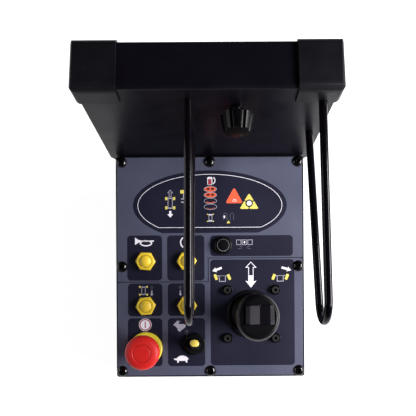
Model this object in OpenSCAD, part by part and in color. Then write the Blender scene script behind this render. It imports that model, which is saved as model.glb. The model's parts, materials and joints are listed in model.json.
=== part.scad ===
// Operator console for a work platform: a sheet-steel box with a sloped control panel, a rail saddle
// with rubber corner caps, two guard hoops, a drive lever and the switches.
// +Z is up, +X is the operator's right, +Y points away from the operator. Z = 0 is the flat underside.

/* [Panel] */
// Fall of the panel toward the operator, degrees
panel_slope = 9; // [0:0.5:18]
// Panel width
panel_w = 230; // [220:1:300]
// Panel length down the slope
panel_l = 270; // [260:1:340]
// Panel sheet thickness
panel_t = 2; // [1.5:0.5:4]
// Panel corner radius
panel_r = 3.5; // [2:0.5:8]
// Height of the panel's centre above the underside
panel_mid_z = 100; // [95:1:140]
// Thickness of the printed overlays
overlay_t = 0.5; // [0.3:0.1:1]
// Bare edge round the overlays
overlay_edge = 1.6; // [0.5:0.1:4]
// Overlay corner radius
overlay_r = 3; // [1:0.5:6]
// Gap along the seam between the overlays
seam_gap = 0.8; // [0.3:0.1:2]
// Seam place left of the step, up the slope from the centre
seam_left_v = -18.9; // [-22:0.1:-10]
// Seam place right of the step, up the slope from the centre
seam_right_v = 10.1; // [4:0.1:12]
// Where the seam steps, right of the centre
seam_step_u = -2.3; // [-5:0.1:2]

/* [Panel screws] */
// Screw size
panel_screw_d = 6; // [4:0.5:8]
// Button head diameter
panel_head_d = 13.6; // [9:0.1:14]
// Button head height
panel_head_h = 3.8; // [2:0.1:5]
// Hex socket across flats
panel_socket_af = 4; // [2:0.5:5]
// Screw length under the head
panel_screw_l = 11; // [8:1:20]
// Screw centres in from the panel edges
panel_screw_inset = 7; // [6.5:0.25:10]

/* [Box] */
// Sheet thickness of the box
box_t = 2; // [1.5:0.5:3]
// Panel overhang past the side walls
box_inset = 1; // [0:0.5:3]
// Width of the turned-in flanges
flange_w = 14; // [12:1:20]
// Plan corner radius of the box
box_r = 4; // [3:0.5:8]
// Thickness of the bottom cover
cover_t = 2; // [2:0.5:4]
// Cover screw size
cover_screw_d = 4; // [3:0.5:5]
// Cover screw length
cover_screw_l = 10; // [6:1:16]
// Cover screw centres in from the box walls
cover_screw_inset = 7.5; // [7:0.5:10]

/* [Saddle hood] */
// Sheet thickness of the hood
hood_t = 2.5; // [2:0.5:4]
// Hood width
hood_w = 243; // [235:1:320]
// Depth over both skirts
hood_depth = 47.5; // [44:0.5:70]
// Height of the hood above the panel's rear edge
hood_h = 164; // [155:1:200]
// Outside bend radius
hood_r = 3.5; // [3:0.5:6]
// How far the rear skirt hangs down
skirt_h = 78; // [60:1:110]
// How far the front wall runs down behind the box
tail_h = 72; // [66:1:80]
// Start of the lower corner chamfer below the panel's rear edge
chamfer_top = 3.5; // [0:0.5:10]
// Height of the lower corner chamfer
chamfer_h = 13.5; // [8:0.5:20]
// Hood bolt size
hood_bolt_d = 6; // [5:1:8]
// Hood bolt spacing across
hood_bolt_w = 160; // [120:1:190]
// Upper hood bolts below the panel's rear edge
hood_bolt_drop = 30; // [24:1:34]
// Hood bolt spacing down
hood_bolt_h = 30; // [20:1:32]

/* [Corner caps] */
// How far each cap reaches in from the hood's end
cap_reach = 38; // [30:1:60]
// Cap wall on the top and the skirts
cap_t = 2.6; // [2:0.1:5]
// Cap wall at the hood's end
cap_end_t = 5; // [3:0.5:8]
// Cap height down the skirts
cap_h = 27; // [20:0.5:34]
// Rounding of the cap's long edges
cap_edge_r = 8; // [4:0.5:10]
// Rounding of the cap's end corners
cap_end_r = 7; // [4:0.5:10]
// Clearance of the cap over the hood
cap_gap = 0.1; // [0.05:0.05:0.4]

/* [Guard hoops] */
// Rod diameter
rod_d = 8; // [6:0.5:12]
// Middle hoop place, right of the centre
hoop_mid_u = -18.5; // [-24:0.5:-12]
// Right hoop place, in from the hood's right end
hoop_right_in = 12; // [9.5:0.5:17]
// Height of the lower leg on the wall, above the panel's rear edge
hoop_low_h = 69; // [60:1:80]
// Height of the upper leg on the wall, above the panel's rear edge
hoop_high_h = 141.5; // [135:0.5:146]
// Height of the bend's centre above the panel's rear edge
hoop_bend_h = 110; // [100:1:116]
// Centreline radius of the bend
hoop_bend_r = 21; // [16:0.5:28]
// Reach of the hoops from the wall
hoop_reach = 212; // [180:1:240]
// Clearance of the rod in the wall
weld_gap = 0.05; // [0.02:0.01:0.2]

/* [Rail clamp] */
// Clamp screw size
clamp_screw_d = 8; // [6:1:10]
// Clamp place, right of the centre
clamp_u = 28.4; // [20:0.5:40]
// Clamp height above the panel's rear edge
clamp_h = 128; // [120:0.5:132]
// Boss diameter
clamp_boss_d = 15; // [13:0.5:18]
// Boss length in front of the wall
clamp_boss_l = 4; // [3:0.5:6]
// Knob diameter at the wall side
knob_d = 33; // [26:0.5:40]
// Knob diameter at the free end
knob_tip_d = 26; // [20:0.5:30]
// Knob length
knob_l = 17.5; // [16:0.5:30]
// Number of knob lobes
knob_lobes = 8; // [6:1:12]
// Gap between the boss and the knob
knob_gap = 6; // [5:0.5:9]
// Pad diameter
pad_d = 18; // [14:1:24]
// Pad thickness
pad_t = 2; // [1.5:0.5:4]
// How far the pad's back stands off the wall at rest
pad_rest = 1; // [0.8:0.1:2]
// Running clearance of every turning or sliding fit
run_gap = 0.05; // [0.02:0.01:0.1]
// Clearance between moving faces
move_gap = 0.4; // [0.3:0.05:0.8]

/* [Cable gland] */
// Gland place, right of the centre
gland_u = -60; // [-90:1:-40]
// Gland height above the underside
gland_z = 25; // [20:1:28]
// Thread diameter
gland_d = 20; // [16:1:22]
// Wrench size
gland_af = 24; // [22:1:27]
// Cable hole in the seal
gland_cable_d = 10; // [6:0.5:12]
// Thickness of the hexagons
gland_hex_t = 5; // [4:0.5:8]
// Length of the sealing dome
gland_dome_l = 16; // [12:1:20]

/* [Drive lever] */
// Lever place, right of the centre
stick_u = 50.1; // [46:0.1:56]
// Lever place, up the slope from the centre
stick_v = -58.5; // [-64:0.1:-54]
// Rest lean away from the operator, degrees
stick_lean = 2.7; // [0:0.1:4]
// Depth of the pivot under the panel's face
stick_pivot = 18; // [16:0.5:24]
// Lever rod diameter
stick_rod_d = 10; // [8:0.5:12]
// Pivot pin diameter
stick_pin_d = 8; // [6:0.5:9]
// Hub diameter
stick_hub_d = 17; // [15:0.5:19]
// Hub width between the ears
stick_hub_w = 30; // [24:1:34]
// Ear thickness
stick_ear_t = 6; // [4:0.5:8]
// Opening in the panel
stick_hole_d = 44; // [42:1:48]
// Screw square
stick_screw_sq = 58.6; // [56:0.1:62]
// Flange size under the panel
stick_flange = 70; // [68:1:74]
// Housing size under the ears
stick_case = 56; // [50:1:60]
// Housing depth
stick_case_h = 34; // [20:1:36]
// Screw size
stick_screw_d = 5; // [4:0.5:6]
// Screw head diameter
stick_head_d = 8.5; // [7:0.1:10]
// Washer diameter
stick_washer_d = 12.6; // [11:0.1:14]
// Boot ring outside diameter
boot_ring_d = 59; // [57:0.5:62]
// Boot ring height
boot_ring_h = 3.2; // [2.5:0.1:5]
// Boot diameter at the ring
boot_d = 52; // [48:0.5:54]
// Boot diameter at the top
boot_top_d = 27; // [24:0.5:32]
// Boot height above the overlay
boot_h = 42; // [36:1:46]
// Boot wall
boot_t = 1.8; // [1.2:0.1:3]
// Number of boot folds
boot_folds = 4; // [2:1:6]
// Depth of the boot folds
boot_fold = 2.2; // [0.5:0.1:3]

/* [Lever handle] */
// Handle diameter at the top
handle_d = 49.5; // [47:0.5:54]
// Handle waist diameter
handle_waist_d = 40; // [34:0.5:44]
// Handle neck diameter
handle_neck_d = 22; // [18:0.5:23]
// Height of the handle's shoulder above the panel
handle_low_z = 46; // [45:0.5:54]
// Height of the handle's top above the panel
handle_top_z = 101; // [92:0.5:110]
// Height of the separate head cap
handle_cap_h = 12; // [10:0.5:16]
// Head cap edge radius
handle_cap_r = 4; // [2:0.5:5]
// Rocker length across
rocker_w = 29.4; // [26:0.1:32]
// Rocker width
rocker_l = 19.4; // [16:0.1:22]
// Depth of the rocker's pivot under the top
rocker_pivot = 4.5; // [4:0.5:6]
// Rise of the rocker's ends over its valley
rocker_rise = 3; // [1:0.1:4]
// Rocker tilt each way, degrees
rocker_tilt = 9; // [5:1:11]
// Rocker place, right of the handle's axis
rocker_right = 1.8; // [0:0.1:2.5]
// Rocker place, away from the operator
rocker_away = 2.6; // [0:0.1:3]
// Rocker pin diameter
rocker_pin_d = 3; // [2:0.5:3.5]

/* [Emergency stop] */
// Place, right of the centre
stop_u = -79; // [-84:0.1:-74]
// Place, up the slope from the centre
stop_v = -100; // [-104:0.1:-96]
// Collar diameter
stop_collar_d = 40.4; // [36:0.1:44]
// Collar height
stop_collar_h = 5; // [3:0.5:8]
// Thread diameter
stop_barrel_d = 22; // [20:1:24]
// Height of the barrel above the collar
stop_barrel_h = 5; // [3:0.5:8]
// Plunger diameter
stop_plunger_d = 12; // [10:0.5:14]
// Diameter of the pin the head turns on
stop_pin_d = 8; // [6:0.5:9]
// Mushroom diameter
stop_head_d = 40; // [34:0.5:44]
// Mushroom diameter at its underside
stop_neck_d = 25; // [22:0.5:28]
// Height of the mushroom's underside above the overlay
stop_head_z = 15; // [14.5:0.5:20]
// Height of the mushroom
stop_head_h = 24; // [20:0.5:30]
// Top groove diameter
stop_groove_d = 24; // [18:0.5:28]
// Travel
stop_travel = 4; // [3:0.5:5]
// Contact block size
stop_block = 30; // [26:1:32]
// Contact block depth
stop_block_h = 36; // [30:1:40]

/* [Yellow buttons] */
// Left column, right of the centre
btn_left_u = -78.7; // [-82:0.1:-76]
// Right column, right of the centre
btn_right_u = -28.3; // [-31:0.1:-26]
// Upper row, up the slope from the centre
btn_upper_v = 6.5; // [2:0.1:9]
// Lower row, up the slope from the centre
btn_lower_v = -48; // [-51:0.1:-45]
// Hexagon across flats
btn_af = 21; // [19:0.5:24]
// Hexagon height
btn_hex_h = 6.5; // [5:0.5:9]
// Cap diameter
btn_cap_d = 14.6; // [12:0.1:15]
// Height of the cap's dome over the hexagon
btn_dome_h = 3; // [2.5:0.1:5]
// Travel
btn_travel = 2.5; // [1.5:0.5:3]
// Thread diameter of the switches
switch_d = 12; // [10:0.5:12]
// Stem diameter
stem_d = 5; // [4:0.5:6]
// Switch body size
switch_body = 15; // [13:0.5:17]
// Switch body depth
switch_body_h = 22; // [18:1:28]
// Nut across flats
switch_nut_af = 15; // [14:0.5:17]
// Nut thickness
switch_nut_h = 2.5; // [2:0.5:4]

/* [Black button] */
// Place, right of the centre
black_u = 16.3; // [14:0.1:20]
// Place, up the slope from the centre
black_v = 25.5; // [22:0.1:28]
// Bezel diameter
black_bezel_d = 22.2; // [18:0.1:24]
// Bezel height
black_bezel_h = 5; // [4:0.5:7]
// Cap diameter
black_cap_d = 15.2; // [12:0.1:16]

/* [Speed toggle] */
// Place, right of the centre
toggle_u = -18.6; // [-22:0.1:-16]
// Place, up the slope from the centre
toggle_v = -95; // [-98:0.1:-92]
// Collar across flats
toggle_af = 24; // [21:0.5:26]
// Collar turn, degrees
toggle_turn = 17; // [0:1:30]
// Collar height
toggle_hex_h = 5.5; // [4:0.5:8]
// Boot ball diameter
toggle_ball_d = 15; // [13:0.5:16]
// Lean of the lever at rest, degrees
toggle_lean = 12; // [8:1:15]
// Lever rod diameter
toggle_rod_d = 5; // [4:0.5:6]
// Pivot pin diameter
toggle_pin_d = 3; // [2:0.5:4]
// Paddle width across
toggle_tip_w = 10.2; // [8:0.1:12]
// Paddle thickness
toggle_tip_t = 7.6; // [6:0.1:9]
// Paddle length
toggle_tip_l = 13; // [10:0.5:18]
// Height of the paddle's top over the pivot
toggle_tip_z = 27; // [22:0.5:34]

/* [Hidden] */
$fn = 96;
eps = 0.01;
ink = [0.05, 0.05, 0.055];
gloss_ink = [0.03, 0.03, 0.035];
rubber_ink = [0.09, 0.09, 0.1];
slate = [0.29, 0.32, 0.4];
amber = [0.93, 0.68, 0.08];
stop_red = [0.8, 0.06, 0.05];
stop_yellow = [0.86, 0.8, 0.1];
steel = [0.6, 0.61, 0.62];

rear_z = panel_mid_z + panel_l / 2 * sin(panel_slope);
rear_y = panel_l / 2 * cos(panel_slope) + panel_t * sin(panel_slope);
hood_y = rear_y + 0.35;
hood_top = rear_z + hood_h;
hood_mid_y = hood_y + hood_depth / 2;
hoop_right_u = hood_w / 2 - hoop_right_in;
beyond = 2 * (panel_w + panel_l);
tail_z = rear_z - tail_h;
box_w = panel_w - 2 * box_inset;
box_front = -panel_l / 2 * cos(panel_slope) + box_inset;
box_l = hood_y - box_front;
box_mid_y = (hood_y + box_front) / 2;
face = overlay_t;
under = -panel_t;
screw_u = panel_w / 2 - panel_screw_inset;
screw_v = panel_l / 2 - panel_screw_inset;
panel_screw_at = [for (u = [-screw_u, 0, screw_u], v = [-screw_v, 0, screw_v]) if (u != 0 || v != 0) [u, v]];
cover_x = box_w / 2 - box_t - cover_screw_inset;
cover_y = box_l / 2 - box_t - cover_screw_inset;
cover_screw_at = [for (x = [-cover_x, cover_x], y = [-cover_y, 0, cover_y]) [x, box_mid_y + y]];
hood_bolt_at = [for (x = [-0.5, 0.5], n = [0, 1]) [x * hood_bolt_w, rear_z - hood_bolt_drop - n * hood_bolt_h]];
button_at = [[btn_left_u, btn_upper_v], [btn_right_u, btn_upper_v], [btn_left_u, btn_lower_v], [btn_right_u, btn_lower_v]];
switch_at = concat(button_at, [[black_u, black_v]]);
nut_at = concat(switch_at, [[toggle_u, toggle_v]]);
clamp_z = rear_z + clamp_h;
hoop_bend_y = hood_y - hoop_reach + hoop_bend_r + rod_d / 2;
hoop_bend_z = rear_z + hoop_bend_h;
rocker_z = handle_top_z - rocker_pivot;
cap_base_z = handle_top_z - handle_cap_h;

// Moves a piece onto the panel: u right, v up the slope, w out of the face.
module on_panel(u = 0, v = 0, w = 0) {
    translate([0, 0, panel_mid_z])
        rotate([panel_slope, 0, 0])
            translate([u, v, w])
                children();
}

// Everything under a plane parallel to the panel.
module below(w) {
    on_panel(0, 0, w)
        translate([-beyond, -beyond, -2 * beyond])
            cube(2 * beyond);
}

// A flat rounded rectangle about the origin.
module round_rect(w, l, r) {
    square([w - 2 * r, l], center = true);
    square([w, l - 2 * r], center = true);
    for (x = [-1, 1], y = [-1, 1])
        translate([x * (w / 2 - r), y * (l / 2 - r)])
            circle(r);
}

// A rectangle standing on the X axis, rounded at its two top corners only.
module arch_rect(w, h, r) {
    translate([-w / 2, 0])
        square([w, h - r]);
    translate([-w / 2 + r, 0])
        square([w - 2 * r, h]);
    for (x = [-1, 1])
        translate([x * (w / 2 - r), h - r])
            circle(r);
}

// Sweeps a (Y, Z) outline along X from x0 over a length.
module along_x(x0, l) {
    translate([x0, 0, 0])
        rotate([90, 0, 90])
            linear_extrude(l)
                children();
}

// A hexagonal prism given by its size across flats.
module hex(af, h) {
    cylinder(d = af / cos(30), h = h, $fn = 6);
}

// A hexagonal prism with both rims turned down like a nut, or only the top one.
module turned_hex(af, h, drop, both = true) {
    corner = af / cos(30) / 2;
    intersection() {
        hex(af, h);
        union() {
            translate([0, 0, both ? drop : 0])
                cylinder(r = corner, h = h - (both ? 2 : 1) * drop);
            translate([0, 0, h - drop])
                cylinder(r1 = corner, r2 = af / 2 - drop / 2, h = drop);
            if (both)
                cylinder(r1 = af / 2 - drop / 2, r2 = corner, h = drop);
        }
    }
}

// A turned piece from [radius, height] stations.
module turned(stations) {
    rotate_extrude()
        polygon(stations);
}

// A low dome that springs from a circle of radius r and rises by h.
module dome(r, h) {
    ball = (r * r + h * h) / (2 * h);
    intersection() {
        translate([0, 0, h - ball])
            sphere(ball);
        cylinder(r = r, h = h + 1);
    }
}

module box_plan(grow = 0) {
    translate([0, box_mid_y])
        round_rect(box_w + 2 * grow, box_l + 2 * grow, box_r + grow);
}

module box_opening() {
    translate([0, box_mid_y])
        round_rect(box_w - 2 * (box_t + flange_w), box_l - 2 * (box_t + flange_w), box_r);
}

module base_tray() {
    color(ink)
        difference() {
            intersection() {
                linear_extrude(2 * rear_z)
                    box_plan();
                below(under);
            }
            // the room between the two flanges
            intersection() {
                translate([0, 0, cover_t + box_t])
                    linear_extrude(2 * rear_z)
                        box_plan(-box_t);
                below(under - box_t);
            }
            // the openings inside the flanges, and the seat of the bottom cover
            translate([0, 0, -1])
                linear_extrude(2 * rear_z)
                    box_opening();
            translate([0, 0, -1])
                linear_extrude(1 + cover_t)
                    box_plan(-box_t);
            for (p = panel_screw_at)
                on_panel(p[0], p[1], under - box_t - 1)
                    cylinder(d = panel_screw_d + 0.2, h = box_t + 2);
            for (p = cover_screw_at)
                translate([p[0], p[1], 0])
                    cylinder(d = cover_screw_d + 0.2, h = cover_t + box_t + 1);
            for (p = hood_bolt_at)
                translate([p[0], hood_y + 1, p[1]])
                    rotate([90, 0, 0])
                        cylinder(d = hood_bolt_d + 0.4, h = box_t + 3);
            translate([gland_u, hood_y + 1, gland_z])
                rotate([90, 0, 0])
                    cylinder(d = gland_d + 0.3, h = box_t + 3);
        }
}

module bottom_cover() {
    color(ink)
        difference() {
            linear_extrude(cover_t)
                box_plan(-box_t - 0.3);
            for (p = cover_screw_at)
                translate([p[0], p[1], 0]) {
                    translate([0, 0, -1])
                        cylinder(d = cover_screw_d + 0.3, h = cover_t + 2);
                    translate([0, 0, -eps])
                        cylinder(d1 = 2 * cover_screw_d + 0.2, d2 = cover_screw_d + 0.3, h = cover_t * 0.9);
                }
        }
}

module cover_screws() {
    color(steel)
        for (p = cover_screw_at)
            translate([p[0], p[1], 0.1])
                difference() {
                    union() {
                        cylinder(d = cover_screw_d, h = cover_screw_l);
                        cylinder(d1 = 2 * cover_screw_d - 0.2, d2 = cover_screw_d, h = cover_t * 0.8);
                    }
                    translate([0, 0, -1])
                        hex(cover_screw_d * 0.6, 2);
                }
}

// Everything that goes through the face of the panel.
module panel_holes(fit) {
    for (p = button_at)
        translate(p)
            circle(d = switch_d + fit);
    translate([black_u, black_v])
        circle(d = switch_d + fit);
    translate([toggle_u, toggle_v])
        circle(d = switch_d + fit);
    translate([stop_u, stop_v])
        circle(d = stop_barrel_d + fit);
    translate([stick_u, stick_v])
        circle(d = stick_hole_d);
    for (x = [-0.5, 0.5], y = [-0.5, 0.5])
        translate([stick_u + x * stick_screw_sq, stick_v + y * stick_screw_sq])
            circle(d = stick_screw_d + fit);
}

module control_plate() {
    color(ink)
        on_panel(0, 0, -panel_t)
            linear_extrude(panel_t)
                difference() {
                    round_rect(panel_w, panel_l, panel_r);
                    panel_holes(0.3);
                    for (p = panel_screw_at)
                        translate(p)
                            circle(d = panel_screw_d + 0.4);
                }
}

// The field of both overlays, which run under the screw heads.
module overlay_field() {
    difference() {
        round_rect(panel_w - 2 * overlay_edge, panel_l - 2 * overlay_edge, overlay_r);
        panel_holes(0.6);
        for (p = panel_screw_at)
            translate(p)
                circle(d = panel_screw_d + 0.6);
    }
}

// The upper side of the stepped seam, moved by half the gap.
module above_seam(shift) {
    far = panel_w;
    left = seam_left_v + shift;
    right = seam_right_v + shift;
    step = seam_step_u - shift;
    polygon([[-far, left], [step, left], [step, right], [far, right], [far, panel_l], [-far, panel_l]]);
}

module upper_overlay() {
    color(slate)
        on_panel()
            linear_extrude(overlay_t)
                intersection() {
                    overlay_field();
                    above_seam(seam_gap / 2);
                }
}

module lower_overlay() {
    color(slate)
        on_panel()
            linear_extrude(overlay_t)
                difference() {
                    overlay_field();
                    above_seam(-seam_gap / 2);
                }
}

// A button-head screw with its head standing on the origin.
module button_screw(d, head_d, head_h, socket, l) {
    difference() {
        union() {
            intersection() {
                dome(head_d / 2, head_h);
                cylinder(d = head_d, h = head_h - 0.35);
            }
            translate([0, 0, -l])
                cylinder(d = d, h = l + 0.5);
        }
        translate([0, 0, head_h * 0.35])
            hex(socket, head_h);
    }
}

module panel_screws() {
    color(gloss_ink)
        for (p = panel_screw_at)
            on_panel(p[0], p[1], face)
                button_screw(panel_screw_d, panel_head_d, panel_head_h, panel_socket_af, panel_screw_l);
}

// The saddle's (Y, Z) outline: a folded sheet with a short rear skirt and a long front wall.
module saddle_outline() {
    translate([hood_mid_y, 0])
        difference() {
            translate([0, tail_z])
                arch_rect(hood_depth, hood_top - tail_z, hood_r);
            translate([0, tail_z - 1])
                arch_rect(hood_depth - 2 * hood_t, hood_top - tail_z + 1 - hood_t, hood_r - hood_t);
            translate([0, tail_z - 1])
                square([hood_depth, hood_h + tail_h - skirt_h + 1]);
        }
}

// The front view of the hood: full width down to the chamfers, then as wide as the box.
module hood_front() {
    half = hood_w / 2;
    low = box_w / 2;
    z1 = rear_z - chamfer_top;
    z2 = z1 - chamfer_h;
    translate([0, hood_y + hood_depth + 1, 0])
        rotate([90, 0, 0])
            linear_extrude(hood_depth + 2)
                polygon([
                    [-low, tail_z], [low, tail_z], [low, z2], [half, z1],
                    [half, hood_top], [-half, hood_top], [-half, z1], [-low, z2]
                ]);
}

// Slope of a hoop leg: the tangent from its foot on the wall to the bend.
function leg_angle(foot_h, side) =
    let (dy = hood_y - hoop_bend_y, dz = rear_z + foot_h - hoop_bend_z)
    atan2(dz, dy) - side * asin(hoop_bend_r / sqrt(dy * dy + dz * dz));
function leg_length(foot_h) =
    let (dy = hood_y - hoop_bend_y, dz = rear_z + foot_h - hoop_bend_z)
    sqrt(dy * dy + dz * dz - hoop_bend_r * hoop_bend_r);
high_slope = leg_angle(hoop_high_h, 1);
low_slope = leg_angle(hoop_low_h, -1);

// The plane of a hoop: X runs to the wall, Y up, from the centre of the bend.
module at_bend() {
    translate([0, hoop_bend_y, hoop_bend_z])
        rotate([90, 0, 90])
            children();
}

// A straight leg from the bend to its foot on the wall; extra runs on through the wall.
module high_leg(d, extra) {
    at_bend()
        rotate([0, 0, high_slope])
            translate([0, hoop_bend_r, 0])
                rotate([0, 90, 0])
                    cylinder(d = d, h = leg_length(hoop_high_h) + extra);
}

module low_leg(d, extra) {
    at_bend()
        rotate([0, 0, low_slope])
            translate([0, -hoop_bend_r, 0])
                rotate([0, 90, 0])
                    cylinder(d = d, h = leg_length(hoop_low_h) + extra);
}

// The bend is drawn a hair slimmer and tucks a degree into each leg, so the rod is one body.
module hoop(u) {
    tuck = 1;
    slim = 0.03;
    translate([u, 0, 0])
        union() {
            high_leg(rod_d, hood_t);
            low_leg(rod_d, hood_t);
            at_bend()
                rotate_extrude(angle = 180 - high_slope + low_slope + 2 * tuck, start = 90 + high_slope - tuck)
                    translate([hoop_bend_r, 0])
                        circle(d = rod_d - slim);
        }
}

module saddle_hood() {
    color(ink)
        difference() {
            intersection() {
                along_x(-hood_w / 2, hood_w)
                    saddle_outline();
                hood_front();
            }
            for (u = [hoop_mid_u, hoop_right_u])
                translate([u, 0, 0]) {
                    high_leg(rod_d + 2 * weld_gap, hood_t * 3);
                    low_leg(rod_d + 2 * weld_gap, hood_t * 3);
                }
            translate([clamp_u, hood_y + hood_t + 1, clamp_z])
                rotate([90, 0, 0])
                    cylinder(d = clamp_boss_d - 3 + 2 * weld_gap, h = hood_t + 2);
            for (p = hood_bolt_at)
                translate([p[0], hood_y + hood_t + 1, p[1]])
                    rotate([90, 0, 0])
                        cylinder(d = hood_bolt_d + 0.4, h = hood_t + 2);
        }
}

// A moulded cap for one end of the hood; side is 1 on the right and -1 on the left.
module corner_cap(side) {
    end_x = hood_w / 2 + cap_end_t;
    in_x = hood_w / 2 - cap_reach;
    low = hood_top + cap_t - cap_h;
    wide = hood_depth + 2 * cap_t;
    scale_x = side > 0 ? 0 : 1;
    mirror([scale_x, 0, 0])
        difference() {
            intersection() {
                along_x(in_x, end_x - in_x)
                    translate([hood_mid_y, low])
                        arch_rect(wide, cap_h, cap_edge_r);
                translate([end_x - 2 * cap_reach, hood_mid_y, low - 1])
                    linear_extrude(cap_h + 2)
                        round_rect(4 * cap_reach, wide, cap_end_r);
                translate([end_x - 2 * cap_reach, hood_mid_y + wide, low - cap_h])
                    rotate([90, 0, 0])
                        linear_extrude(2 * wide)
                            translate([0, cap_h])
                                round_rect(4 * cap_reach, 2 * cap_h, cap_end_r - 1);
            }
            // over the hood's own end
            along_x(in_x - 1, hood_w / 2 + cap_gap - in_x + 1)
                translate([hood_mid_y, low - 1])
                    arch_rect(hood_depth + 2 * cap_gap, cap_h + 1 - cap_t + cap_gap, hood_r + cap_gap);
            // the way through for the rail
            along_x(in_x, end_x)
                translate([hood_mid_y, low - 1])
                    arch_rect(hood_depth - 2 * hood_t, cap_h + 1 - cap_t - hood_t, hood_r - hood_t);
            // a notch for the hoop's upper leg
            if (side > 0)
                translate([hoop_right_u, 0, 0]) {
                    high_leg(rod_d + 0.6, hood_t);
                    translate([-rod_d / 2 - 0.3, hood_y - 3 * cap_t, low - 2])
                        cube([rod_d + 0.6, 3 * cap_t, rear_z + hoop_high_h - low + 2]);
                }
        }
}

module left_corner_cap() {
    color(rubber_ink)
        corner_cap(-1);
}

module right_corner_cap() {
    color(rubber_ink)
        corner_cap(1);
}

module middle_guard_hoop() {
    color(gloss_ink)
        hoop(hoop_mid_u);
}

module right_guard_hoop() {
    color(gloss_ink)
        hoop(hoop_right_u);
}

// Bolts through the hood's tail and the box's rear wall, each with its nut inside the box.
module hood_bolts() {
    color(steel)
        for (p = hood_bolt_at)
            translate([p[0], hood_y, p[1]])
                rotate([-90, 0, 0]) {
                    translate([0, 0, hood_t])
                        turned_hex(hood_bolt_d * 1.6, hood_bolt_d * 0.65, 0.8, false);
                    translate([0, 0, -box_t - hood_bolt_d * 1.2])
                        cylinder(d = hood_bolt_d, h = box_t + hood_t + hood_bolt_d * 1.2 + 0.5);
                    translate([0, 0, -box_t - hood_bolt_d * 0.8])
                        turned_hex(hood_bolt_d * 1.6, hood_bolt_d * 0.8, 0.8);
                }
}

// Local frame of the clamp: +Z points at the operator, 0 is the wall's front face.
module at_clamp(w = 0) {
    translate([clamp_u, hood_y - w, clamp_z])
        rotate([90, 0, 0])
            children();
}

module clamp_boss() {
    color(gloss_ink)
        at_clamp()
            difference() {
                union() {
                    cylinder(d = clamp_boss_d, h = clamp_boss_l);
                    translate([0, 0, -hood_t])
                        cylinder(d = clamp_boss_d - 3, h = hood_t + 1);
                }
                translate([0, 0, -hood_t - 1])
                    cylinder(d = clamp_screw_d + 2 * run_gap, h = hood_t + clamp_boss_l + 2);
            }
}

module clamp_knob() {
    ratio = knob_tip_d / knob_d;
    color(gloss_ink)
        at_clamp(clamp_boss_l + knob_gap)
            difference() {
                intersection() {
                    cylinder(d1 = knob_d, d2 = knob_tip_d, h = knob_l);
                    translate([0, 0, knob_l - 2 * knob_d])
                        sphere(r = 2 * knob_d);
                }
                // hollows between the lobes follow the taper
                for (i = [0:knob_lobes - 1])
                    rotate([0, 0, (i + 0.5) * 360 / knob_lobes])
                        translate([knob_d / 2 + 1.2, 0, -1])
                            rotate([0, -atan((knob_d - knob_tip_d) / 2 / knob_l), 0])
                                cylinder(d = knob_d / 7 + 1, h = knob_l + 6);
                translate([0, 0, -1])
                    cylinder(d = clamp_screw_d, h = knob_l * 0.7 + 1);
            }
}

module clamp_screw() {
    back = hood_t + pad_rest;
    color(steel)
        at_clamp(-back)
            union() {
                cylinder(d = clamp_screw_d, h = back + clamp_boss_l + knob_gap + knob_l * 0.7);
                translate([0, 0, back + clamp_boss_l + knob_gap - 1.5])
                    turned_hex(clamp_screw_d * 1.6, 1.5, 0.4);
                translate([0, 0, -pad_t / 2])
                    cylinder(d = clamp_screw_d * 0.6, h = pad_t);
            }
}

module clamp_pad() {
    color(rubber_ink)
        at_clamp(-hood_t - pad_rest - pad_t)
            difference() {
                cylinder(d = pad_d, h = pad_t);
                translate([0, 0, pad_t / 2 - move_gap / 4])
                    cylinder(d = clamp_screw_d * 0.6 + 2 * run_gap, h = pad_t);
            }
}

// Local frame of the gland: +Z points out of the box's rear wall, 0 is the wall's outside.
module at_gland(w = 0) {
    translate([gland_u, hood_y + w, gland_z])
        rotate([-90, 0, 0])
            children();
}

module gland_body() {
    color(gloss_ink)
        at_gland()
            difference() {
                union() {
                    turned_hex(gland_af, gland_hex_t, 1);
                    translate([0, 0, -box_t - gland_hex_t - 2])
                        cylinder(d = gland_d, h = box_t + gland_hex_t + 3);
                    translate([0, 0, gland_hex_t - eps])
                        cylinder(d = gland_d - 1, h = 3);
                    translate([0, 0, gland_hex_t + 2])
                        turned_hex(gland_af - 1, gland_hex_t, 0.8);
                    translate([0, 0, 2 * gland_hex_t + 2 - eps])
                        cylinder(d1 = gland_d, d2 = gland_cable_d + 5, h = gland_dome_l - gland_hex_t);
                }
                translate([0, 0, -box_t - gland_hex_t - 3])
                    cylinder(d = gland_cable_d + 4, h = box_t + 3 * gland_hex_t + gland_dome_l + 10);
            }
}

module gland_seal() {
    color(rubber_ink)
        at_gland(gland_hex_t)
            difference() {
                cylinder(d = gland_cable_d + 4 - 2 * weld_gap, h = gland_dome_l);
                translate([0, 0, -1])
                    cylinder(d = gland_cable_d, h = gland_dome_l + 2);
            }
}

module gland_nut() {
    color(gloss_ink)
        at_gland(-box_t - weld_gap - gland_hex_t)
            difference() {
                turned_hex(gland_af + 2, gland_hex_t, 1);
                translate([0, 0, -1])
                    cylinder(d = gland_d + 2 * weld_gap, h = gland_hex_t + 2);
            }
}

// Local frame of the drive lever on the panel's face.
module at_stick(w = 0) {
    on_panel(stick_u, stick_v, w)
        children();
}

// The same frame leaned about the pivot, with the face's height kept along the lever.
module leaned() {
    at_stick(-stick_pivot)
        rotate([-stick_lean, 0, 0])
            translate([0, 0, stick_pivot])
                children();
}

module stick_ears(t) {
    for (s = [-1, 1])
        translate([s * (stick_hub_w / 2 + t / 2 + move_gap), 0, 0])
            children();
}

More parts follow.
